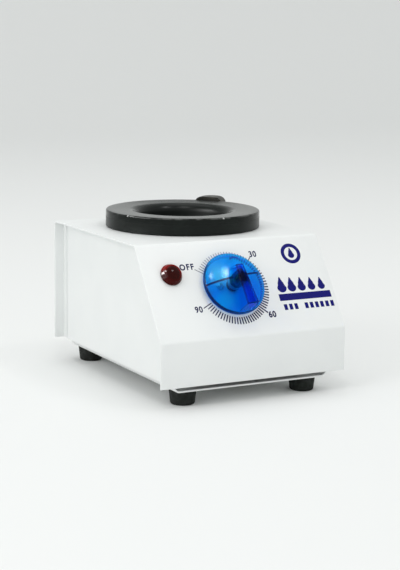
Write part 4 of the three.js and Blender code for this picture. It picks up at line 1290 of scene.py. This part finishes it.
@dataclass
class Pot:
    """Cast pot with its wide rim, its grip and the grip's screw."""

    frames: Frames
    rim_radius: float = 72.4
    skirt: float = 136.5
    top: float = 152.4
    edge: float = 1.5
    dish: float = 0.5
    bore: float = 42.4
    mouth: float = 8.4
    floor_radius: float = 38
    floor: float = 80.4
    foot: Place = (42.5, 76.4)
    floor_round: float = 11.5
    body: float = 45.5
    rim_wall: float = 4
    web: float = 147.2
    tongue: Place = (139.4, 143.4)
    tongue_half: float = 7.5
    tongue_end: float = 89
    grip: Place = (143.7, 155.4)
    grip_end: float = 96
    grip_half: float = 14
    grip_round: float = 6.5
    grip_gap: float = 0.3
    screw: Screw = Screw(3.6, 1.5, 2, 10.6)
    screw_x: float = 84.35
    screw_hole: float = 2.4
    screw_hole_depth: float = 6.3

    def screw_bore(self, z: Place) -> Blank:
        """Returns the rod that cuts a hole for the grip's screw."""
        return Blank.rod(self.screw_hole, z, 24).place(moved(self.screw_x, 0))

    def upright(self, at: Vector, way: Vector) -> bool:
        """Tells whether an edge stands upright outside the rim."""
        return abs(way.z) > 0.9 and at.x > self.rim_radius

    def pot(self) -> None:
        """Builds the pot and the tongue that carries its grip."""
        mouth = self.top - self.dish
        inner_rim = self.rim_radius - self.rim_wall
        outline = [
            (0, self.foot[1]), (*self.foot, self.floor_round), (self.body, self.web, 2),
            (inner_rim, self.web, 2), (inner_rim, self.skirt, 0.8),
            (self.rim_radius, self.skirt, 0.8), (self.rim_radius, self.top, self.edge),
            (self.rim_radius - 6, self.top - 0.1, 30), (self.bore + self.mouth + 1, mouth + 0.05),
            *on_arc((self.bore + self.mouth, mouth - self.mouth), [self.mouth] * 2, 90, 180, 14),
            (self.floor_radius, self.floor, self.floor_round), (0, self.floor)]
        blank = Blank.spun(outline, steps=144, round_steps=8)
        low, high = self.tongue
        tongue = Blank.box((self.rim_radius - 2, self.tongue_end), (-self.tongue_half, self.tongue_half),
                           self.tongue)
        tongue.bevel_edges(self.upright, 3, 6).soften(0.5)
        hole = self.screw_bore((low - 1, high + 1))
        blank.combine(Merge.JOIN, tongue).combine(Merge.CUT, hole)
        settle(blank, "cast_pot", self.frames.pot, Body.POT, PotCoat(self.frames.well),
               ["wax_pot"])

    def handle(self) -> None:
        """Builds the grip with its round end and soft top, and its screw."""
        low, high = self.grip
        start = self.rim_radius - 4
        blank = Blank.box((start, self.grip_end), (-self.grip_half, self.grip_half), self.grip)
        blank.bevel_edges(self.upright, self.grip_half - 0.002, 16)
        with blank.editing():
            blank.tidy()
        blank.bevel_edges(lambda at, way: at.z > high - 0.01 and at.x > start + 0.1, self.grip_round, 8)
        blank.bevel_edges(lambda at, way: at.z < low + 0.01 and at.x > start + 0.1, 0.8, 3)
        blank.combine(Merge.CUT, Blank.rod(self.rim_radius + self.grip_gap, (low - 1, high + 1), 144),
                      self.screw_bore((low - 1, low + self.screw_hole_depth)))
        settle(blank, "moulded_grip", self.frames.pot, Body.POT, RESIN, ["pot_grip"])
        seat = moved(self.screw_x, 0, self.tongue[0] - self.grip_gap)
        settle(self.screw.make().place(seat @ turned_about("X", 180)), "grip_fixing", self.frames.pot,
               Body.POT, STEEL, ["grip_screw"])

    def build(self) -> None:
        """Builds and dresses the pot."""
        self.pot()
        self.handle()


@dataclass
class Heater:
    """Heated well, its screws, and what it carries inside the case."""

    frames: Frames
    inner: float = 46.7
    wall: float = 1.5
    floor: float = 74.9
    flange: Place = (64, 136.5)
    screw_hole: float = 2
    screw: Screw = Screw(3.2, 2.2, 1.6, 12)
    screw_seat: float = 138.3
    studs: Sequence[Place] = ((-10.5, -13), (10.5, -13), (0, 8), (0, 24))
    stud_radius: float = 1.5
    stud_length: float = 5.5

    def well(self) -> None:
        """Builds the spun well with its flange, studs and screw holes."""
        outer, low = self.inner + self.wall, self.floor - self.wall
        edge, seat = self.flange
        blank = Blank.spun([(0, low), (outer, low, 9.4), (outer, seat, 0.6), (edge, seat, 0.3),
                            (edge, seat + self.wall, 0.5), (self.inner, seat + self.wall, 1.6),
                            (self.inner, self.floor, 8), (0, self.floor)], steps=120, round_steps=8)
        blank.combine(Merge.JOIN, Blank.rods(self.studs, self.stud_radius,
                                             (low - self.stud_length, low + 0.7)))
        blank.combine(Merge.CUT, Blank.rods(self.frames.well_screws.values(), self.screw_hole,
                                            (seat - 1, seat + 3)))
        metal = SpunMetal("spun_aluminium", (0.72, 0.73, 0.74), (0.5, 0.5, 0.5), roughness=(0.3, 0.16),
                          axis=tuple(self.frames.well.to_translation().xy))
        settle(blank, "spun_well", self.frames.well, Body.CASE, metal, ["heater_well"])

    def build(self) -> None:
        """Builds and dresses the heater."""
        self.well()
        self.screw.fix(self.screw_seat, self.frames.well, "well_fixing", "well_screw",
                       self.frames.well_screws)
        dress(STEEL_SHEET, "heat_shield", "bulb_clip")
        dress(BAND_COVER, "band_heater")
        dress(STEEL, "heater_clamp_screw", "heater_clamp_nut", *(f"stud_nut_{i}" for i in range(1, 5)))
        dress(BLACK_PLASTIC, "thermal_cutout")
        dress(COPPER, "sensor_bulb_tube")


@dataclass
class Knob:
    """Clear domed knob with a tall hollow fin, a hub and a rib, in the turned frame of its shaft.

    Attributes:
        fin_half: half widths of the fin's crest at its head and tail.
        head_run: how far its head's foot stands out from its crest.
        rib: half width of the rib and its depth under the dome.
        rib_place: its distance from the middle and its turn in degrees.
        rib_line: its place and slope as seen through the dome.
        bore: radius and top of the hub's hole.
        clip_room: radii and heights of the room for the spring clip.
        chevron: half length, half width, foot and top of its bars.
        chevron_spread: how far the bars stand from its middle and how they are turned.
        chevron_skin: how far it stands over the dome and reaches into it.
    """

    frames: Frames
    radius: float = 29.4
    skirt: float = 1.6
    foot: float = 3.4
    rim: float = 4.6
    crown: float = 13.6
    lean: float = 0.9
    wall: float = 1.8
    fin_top: float = 24.6
    fin_half: Place = (3.7, 5.9)
    fin_ends: Place = (10.2, -28)
    head_run: float = 5
    draft: float = 1.1
    hub: float = 6.4
    rib: Place = (0.7, 1.1)
    rib_place: Place = (4.0, 4.1)
    rib_line: Place = (3.2, 0.072)
    bore: Place = (3.3, 19.8)
    clip_room: Place = (5.4, 7.4, 4.3, 8.9)
    chevron: Place = (2.8, 0.7, 6, 20)
    chevron_place: Place = (5.1, 22)
    chevron_spread: Place = (2.4, 22)
    chevron_skin: Place = (0.22, 0.03)

    def dome(self, inset: float, low: float) -> Blank:
        """Makes the solid dome.

        Args:
            inset: how much smaller it is than the knob's own.
            low: its lowest height.

        Returns:
            The dome.
        """
        radius, rise = self.radius - inset, self.crown - self.rim - inset
        curve = on_arc((0, self.rim), (radius, rise), 0, 90, 24)[:-1]
        return Blank.spun([(0, low), (radius - self.lean, low, 0.5 if not inset else 0), *curve,
                           (0, self.rim + rise)], steps=120)

    def fin(self, inset: float, low: float) -> Blank:
        """Makes the solid fin.

        Args:
            inset: how much smaller it is than the knob's own.
            low: its lowest height.

        Returns:
            The fin.
        """
        head, tail = (half - inset for half in self.fin_half)
        top, bottom = self.fin_ends[0] - inset, self.fin_ends[1] + inset
        crest, base = ([(-tail - wider, bottom), (tail + wider, bottom), (head + wider, top + run),
                        (-head - wider, top + run)] for wider, run in ((0, 0), (self.draft, self.head_run)))
        blank = Blank.wedge(base, crest, (low, self.fin_top - inset))
        blank.bevel_edges(lambda at, way: at.z > low + 0.1, 1.3 if not inset else 0.5, 5)
        return blank.combine(Merge.COMMON, Blank.rod(self.radius - self.lean - inset, (low - 1, 30), 120))

    def solid(self, inset: float, low: float) -> Blank:
        """Returns the dome and fin as one solid."""
        return self.dome(inset, low).combine(Merge.JOIN, self.fin(inset, low))

    def shell(self) -> None:
        """Builds the clear outer moulding."""
        shell = self.solid(0, self.skirt).combine(Merge.CUT, self.solid(self.wall, self.skirt - 1))
        skin = ClearBlue(self.frames.knob, self.radius, self.rim, self.crown,
                         (*self.fin_half, *self.fin_ends, self.fin_top), self.rib_line)
        settle(shell, "knob_shell", self.frames.knob, Body.DIAL, skin, ["knob"])

    def core(self) -> None:
        """Builds the hub and the rib inside it, with room for the shaft and its clip."""
        half, depth = self.rib
        rib = Blank.box((-self.radius, self.radius), (-half, half), (self.rim, self.fin_top))
        rib.place(moved(0, self.rib_place[0]) @ turned_about("Z", self.rib_place[1]))
        rib.combine(Merge.CUT, self.dome(self.wall + depth, self.skirt - 1))
        core = Blank.rod(self.hub, (self.foot, self.fin_top)).combine(Merge.JOIN, rib)
        core.combine(Merge.COMMON, self.solid(self.wall + 0.05, self.skirt - 2))
        bore, top = self.bore
        inner, outer, low, high = self.clip_room
        room = Blank.spun([(inner, low), (outer, low), (outer, high), (inner, high)], closed=True, steps=48)
        core.combine(Merge.CUT, Blank.rod(bore, (0, top)), room)
        blue = deep_blue("deep_blue_core", (0.004, 0.012, 0.09), (0.008, 0.008, 0.05))
        settle(core, "knob_core", self.frames.knob, Body.DIAL, blue)

    def pointer(self) -> None:
        """Builds the small raised chevron near the top of the dome."""
        length, half, *z = self.chevron
        (x, y), (spread, turn), (over, under) = self.chevron_place, self.chevron_spread, self.chevron_skin
        bars = [Blank.box((-length, length), (-half, half), z).soften(0.3).place(
            moved(x + side * spread, y) @ turned_about("Z", -side * turn)) for side in (-1, 1)]
        mark = bars[0].combine(Merge.JOIN, bars[1])
        mark.combine(Merge.COMMON, self.dome(-over, self.skirt).combine(
            Merge.CUT, self.dome(-under, self.skirt - 1)))
        blue = deep_blue("chevron_blue", (0.001, 0.05, 0.36), (0.001, 0.04, 0.3))
        settle(mark, "knob_pointer", self.frames.knob, Body.DIAL, blue)

    def build(self) -> None:
        """Builds and dresses the knob and its shaft."""
        self.shell()
        self.core()
        self.pointer()
        dress(BRASS, "thermostat_shaft")
        dress(STEEL, "knob_clip")


@dataclass
class Thermostat:
    """Thermostat behind the slope."""

    frames: Frames
    screw: Screw = Screw(3.4, 2, 1.8, 7.1)
    screw_seat: float = 0.3

    def build(self) -> None:
        """Dresses the thermostat and builds its two screws."""
        dress(BLACK_PLASTIC, "thermostat_body")
        self.screw.fix(self.screw_seat, self.frames.shaft, "thermostat_fixing", "thermostat_screw",
                       self.frames.thermostat_screws)


@dataclass
class Lamp:
    """Indicator lamp: a bevelled red lens on a black body."""

    frames: Frames
    radius: float = 10
    seat: float = 0.3
    rim: float = 1.7
    shoulder: Place = (8.2, 5)
    height: float = 7

    def build(self) -> None:
        """Builds the lens and dresses the lamp."""
        edge, level = self.shoulder
        shares = [1 - i / 8 for i in range(1, 8)]
        crown = [(edge * share, level + (self.height - level) * (1 - share ** 2)) for share in shares]
        lens = Blank.spun([(0, self.seat), (self.radius, self.seat, 0.2), (self.radius, self.rim, 0.4),
                           (edge, level, 0.5), *crown, (0, self.height)], steps=96)
        settle(lens, "lamp_lens", self.frames.lens, Body.CASE, ClearRed(self.frames.lens),
               ["indicator_lens"])
        dress(BLACK_PLASTIC, "indicator_body")
        dress(CREAM_PLASTIC, "indicator_nut")


@dataclass(frozen=True)
class Word:
    """Figures or letters of the dial, at an angle clockwise from its top and a radius."""

    text: str
    size: float
    angle: float
    radius: float
    weight: float = 0.2
    spacing: float = 1.12


@dataclass
class Print:
    """Ink on the slope: the dial's scale, its words, and plain marks of like colour and size.

    Attributes:
        majors: numbers of the long ticks.
        thicker: what the thickest tick is wider than the thinnest.
        ink: heights of the ink's foot and top over the slope.
        drop_row: width, X and Y of the first drop of the row.
        drop_step: what each next one has more.
        squares: numbers of the squares in their row.
    """

    frames: Frames
    centre: Place = (-8.8, 47)
    inner: float = 28.4
    minor: float = 35.1
    major: float = 38.2
    first: float = -58
    last: float = 243.5
    count: int = 66
    majors: Sequence[int] = (0, 22, 42, 66)
    thin: float = 0.44
    thicker: float = 0.86
    ink: Place = (0.02, 0.08)
    narrow: float = 0.88
    words: Sequence[Word] = (
        Word("30", 8, 43.5, 42.4), Word("60", 8, 132.5, 42.4, 0.3), Word("90", 8, 245.2, 43.2),
        Word("OFF", 7.8, -60, 45.6, 0.25, 1.28))
    ring_place: Place = (59.7, 75.9)
    ring_radii: Place = (6.6, 10)
    ring_drop: Place = (6.4, 59.7, 74.6)
    drops: int = 5
    drop_row: Place = (9.4, 40, 43.2)
    drop_step: Place = (-0.5, 10.3, -0.2)
    long_bar: Sequence[Place] = ((34.5, 88.5), (30.4, 37))
    squares: Sequence[int] = (0, 1, 2, 4, 5, 6, 7, 8, 9)
    square_x: Place = (36.6, 40)
    square_y: Place = (21.4, 27)
    square_step: float = 5.4

    def scale(self) -> list[Blank]:
        """Makes the ticks of the dial, which are thickest at its low left.

        Returns:
            The ticks.
        """
        ticks = []
        for i in range(self.count + 1):
            angle = self.first + (self.last - self.first) * i / self.count
            weight = 0.5 - 0.5 * math.cos(math.radians(angle + 30))
            half = (self.thin + self.thicker * weight) / 2
            end = self.major if i in self.majors else self.minor
            tick = Blank.box((-half, half), (self.inner, end), self.ink)
            ticks.append(tick.place(moved(*self.centre) @ turned_about("Z", -angle)))
        return ticks

    def word(self, word: Word) -> Blank:
        """Prints figures or letters, centred on their place round the dial.

        Args:
            word: the figures or letters.

        Returns:
            Their mesh.
        """
        blank = Blank(bpy.ops.object.text_add)
        letters = blank.object.data
        letters.body, letters.size = word.text, word.size
        letters.align_x, letters.align_y = "CENTER", "CENTER"
        letters.space_character, letters.offset = word.spacing, word.weight
        letters.extrude = (self.ink[1] - self.ink[0]) / 2
        blank.activate()
        bpy.ops.object.convert(target="MESH")
        blank.object = bpy.context.active_object
        with blank.editing():
            blank.tidy()
        turn = math.radians(word.angle)
        place = moved(self.centre[0] + word.radius * math.sin(turn),
                      self.centre[1] + word.radius * math.cos(turn), sum(self.ink) / 2)
        return blank.place(place @ Matrix.Diagonal((self.narrow, 1, 1, 1)))

    def drop(self, size: float, x: float, y: float) -> Blank:
        """Makes a plain drop, its point up.

        Args:
            size: its width.
            x: the place of its middle across the slope.
            y: that place up the slope.

        Returns:
            The drop.
        """
        blank = Blank(bpy.ops.mesh.primitive_cylinder_add, radius=size / 2, vertices=40,
                      depth=self.ink[1] - self.ink[0])
        with blank.editing():
            blank.pick(Element.CORNERS, lambda at, _: at.y > 0)
            bpy.ops.transform.resize(value=(1, 2.1, 1), center_override=(0, 0, 0))
            for share in (0.12, 0.3, 0.5, 0.7, 0.86):
                blank.pick(Element.CORNERS, lambda at, _: at.y > share * size)
                bpy.ops.transform.resize(value=(0.84, 1.02, 1), center_override=(0, share * size, 0))
        return blank.place(moved(x, y, sum(self.ink) / 2))

    def marks(self) -> list[Blank]:
        """Makes the plain marks: a ring with a drop in it, a row of drops, a bar and a row of squares.

        Returns:
            The marks.
        """
        (inner, outer), (low, high) = self.ring_radii, self.ink
        ring = Blank.spun([(inner, low), (outer, low), (outer, high), (inner, high)], closed=True, steps=64)
        row = [[first + step * i for first, step in zip(self.drop_row, self.drop_step)]
               for i in range(self.drops)]
        squares = [[x + self.square_step * i for x in self.square_x] for i in self.squares]
        return [ring.place(moved(*self.ring_place)), *(self.drop(*drop) for drop in (self.ring_drop, *row)),
                Blank.box(*self.long_bar, self.ink),
                *(Blank.box(x, self.square_y, self.ink) for x in squares)]

    def build(self) -> None:
        """Builds all that is printed."""
        navy = ink("navy_print_ink", (0.001, 0.0015, 0.05), (0.004, 0.008, 0.11))
        blue = ink("blue_print_ink", (0.002, 0.002, 0.13), (0.006, 0.008, 0.22))
        words = [self.word(word) for word in self.words]
        for name, pieces, finish in (("dial_print", [*self.scale(), *words], navy),
                                     ("plain_marks", self.marks(), blue)):
            settle(Blank.gather(pieces), name, self.frames.slope, Body.CASE, finish, angle=20)


@dataclass
class Wiring:
    """Cord gland, terminal block, earth point and leads."""

    frames: Frames
    bore: float = 4
    barrel: float = 7.6
    flange: Place = (11, 3.3)
    seat: float = 0.3
    inner_end: float = -11
    outer_end: float = 10.3
    slots: int = 24

    def gland(self) -> None:
        """Builds the gland with a ribbed flange."""
        edge, face = self.flange
        blank = Blank.spun([(self.bore, self.inner_end), (self.barrel, self.inner_end, 0.4),
                            (self.barrel, self.seat, 0.2), (edge, self.seat, 0.3), (edge, face, 0.9),
                            (self.barrel, face, 0.6), (self.barrel - 0.6, self.outer_end, 0.8),
                            (self.bore, self.outer_end, 0.4)], closed=True, steps=72)
        slots = [Blank.box((edge - 1.1, edge + 1), (-0.45, 0.45), (1, 4)).place(
            turned_about("Z", 360 / self.slots * i)) for i in range(self.slots)]
        blank.combine(Merge.CUT, Blank.gather(slots))
        settle(blank, "ribbed_gland", self.frames.outlet, Body.CASE, BLACK_PLASTIC,
               ["cord_gland"])

    def build(self) -> None:
        """Builds and dresses the wiring."""
        self.gland()
        dress(BLACK_PLASTIC, "gland_nut")
        dress(CREAM_PLASTIC, "terminal_block")
        dress(STEEL, "block_screw")
        dress(BRASS, "earth_screw", "earth_tag", "earth_nut")
        dress(sleeve("brown_sleeve_soft", (0.12, 0.05, 0.025)), "live_lead", "cutout_lead", "heater_lead")
        dress(sleeve("blue_sleeve_soft", (0.03, 0.08, 0.36)), "return_lead")
        dress(sleeve("white_sleeve_soft", (0.68, 0.66, 0.6)), "lamp_lead_left", "lamp_lead_right")
        dress(sleeve("green_sleeve_soft", (0.12, 0.3, 0.04)), "earth_lead")


@dataclass(frozen=True)
class Softbox:
    """Soft rectangular lamp, in metres and watts, that faces the object.

    Attributes:
        gleam: whether it only makes highlights, and lights nothing else.
    """

    name: str
    place: Place
    size: Place
    power: float
    gleam: bool = False
    target: Place = (0, 0, 0.08)

    def add(self) -> None:
        """Adds the lamp to the scene."""
        light = bpy.data.lights.new(self.name, "AREA")
        light.shape = "RECTANGLE"
        light.size, light.size_y = self.size
        light.energy = self.power
        holder = bpy.data.objects.new(self.name, light)
        holder.location = self.place
        way = Vector(self.target) - Vector(self.place)
        holder.rotation_euler = way.to_track_quat("-Z", "Y").to_euler()
        holder.visible_diffuse = holder.visible_camera = not self.gleam
        bpy.context.collection.objects.link(holder)


@dataclass
class Studio:
    """Floor, backdrop, lamps and camera, in metres; the camera's place is from the lip's lower edge."""

    frames: Frames
    lens: float = 100.56
    camera_place: Place = (-0.686338, -1.17358, 0.324369)
    right: Place = (0.88192, -0.47125, 0.01197)
    up: Place = (0.07182, 0.15942, 0.98460)
    back: Place = (-0.46590, -0.86748, 0.17444)
    room: float = 9
    wall_height: float = 5
    sky: Colour = (0.985, 1, 0.994)
    sky_strength: float = 0.8
    lamps: Sequence[Softbox] = (
        Softbox("window_left", (-2.1, -0.6, 1.15), (1.2, 1.2), 12),
        Softbox("box_top", (0, 0.45, 2.2), (1.6, 1.6), 7.6),
        Softbox("box_left", (-0.55, -0.82, 2.05), (0.26, 0.26), 2.6),
        Softbox("box_right", (0.7, -0.93, 1.95), (0.26, 0.26), 2.6),
        Softbox("gleam_left", (-0.55, -0.82, 2.05), (0.3, 0.3), 7, gleam=True),
        Softbox("gleam_right", (0.68, -0.9, 1.95), (0.36, 0.3), 4.2, gleam=True),
        Softbox("gleam_lens", (-1.22, 0.2, 0.66), (0.8, 0.42), 20, gleam=True))

    def backdrop(self) -> None:
        """Builds one sheet of paper that lies on the ground and rises behind the object."""
        rear = self.room / 2 - 0.01
        blank = Blank.sheet(self.room, self.room, Matrix.Identity(4))
        with blank.editing():
            blank.pick(Element.EDGES, lambda at, _: at.y > rear)
            blank.extrude(Vector((0, 0, self.wall_height)))
        blank.bevel_edges(lambda at, way: at.y > rear and abs(at.z) < 0.01, 2, 16)
        blank.object.name = "paper_sweep"
        blank.activate()
        bpy.ops.object.shade_smooth()
        blank.object.data.materials.append(material_of(FloorPaper()))

    def world(self) -> None:
        """Sets the even light from all round."""
        world = bpy.data.worlds.new("even_light")
        world.use_nodes = True
        background = world.node_tree.nodes["Background"]
        background.inputs["Color"].default_value = (*self.sky, 1)
        background.inputs["Strength"].default_value = self.sky_strength
        bpy.context.scene.world = world

    def camera(self) -> None:
        """Sets the camera at the photograph's viewing angle."""
        data = bpy.data.cameras.new("front_left")
        data.lens = self.lens
        data.sensor_width = 36
        holder = bpy.data.objects.new("front_left", data)
        turn = Matrix((self.right, self.up, self.back)).transposed().to_4x4()
        lip = Vector((0, *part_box("cover_shell")[0][1:]))
        holder.matrix_world = Matrix.Translation(lip + Vector(self.camera_place)) @ turn
        bpy.context.collection.objects.link(holder)
        bpy.context.scene.camera = holder

    def build(self) -> None:
        """Builds the studio."""
        self.backdrop()
        for lamp in self.lamps:
            lamp.add()
        self.world()
        self.camera()
        bpy.context.scene.view_settings.view_transform = "Standard"
        LOG.info("made the studio")


def main() -> None:
    """Builds the whole scene."""
    logging.basicConfig(level=logging.INFO, format="%(name)s: %(message)s")
    frames = Frames()
    Studio(frames).build()
    for part in (Case, Feet, Heater, Pot, Thermostat, Knob, Lamp, Print, Wiring):
        part(frames).build()


if __name__ == "__main__":
    main()
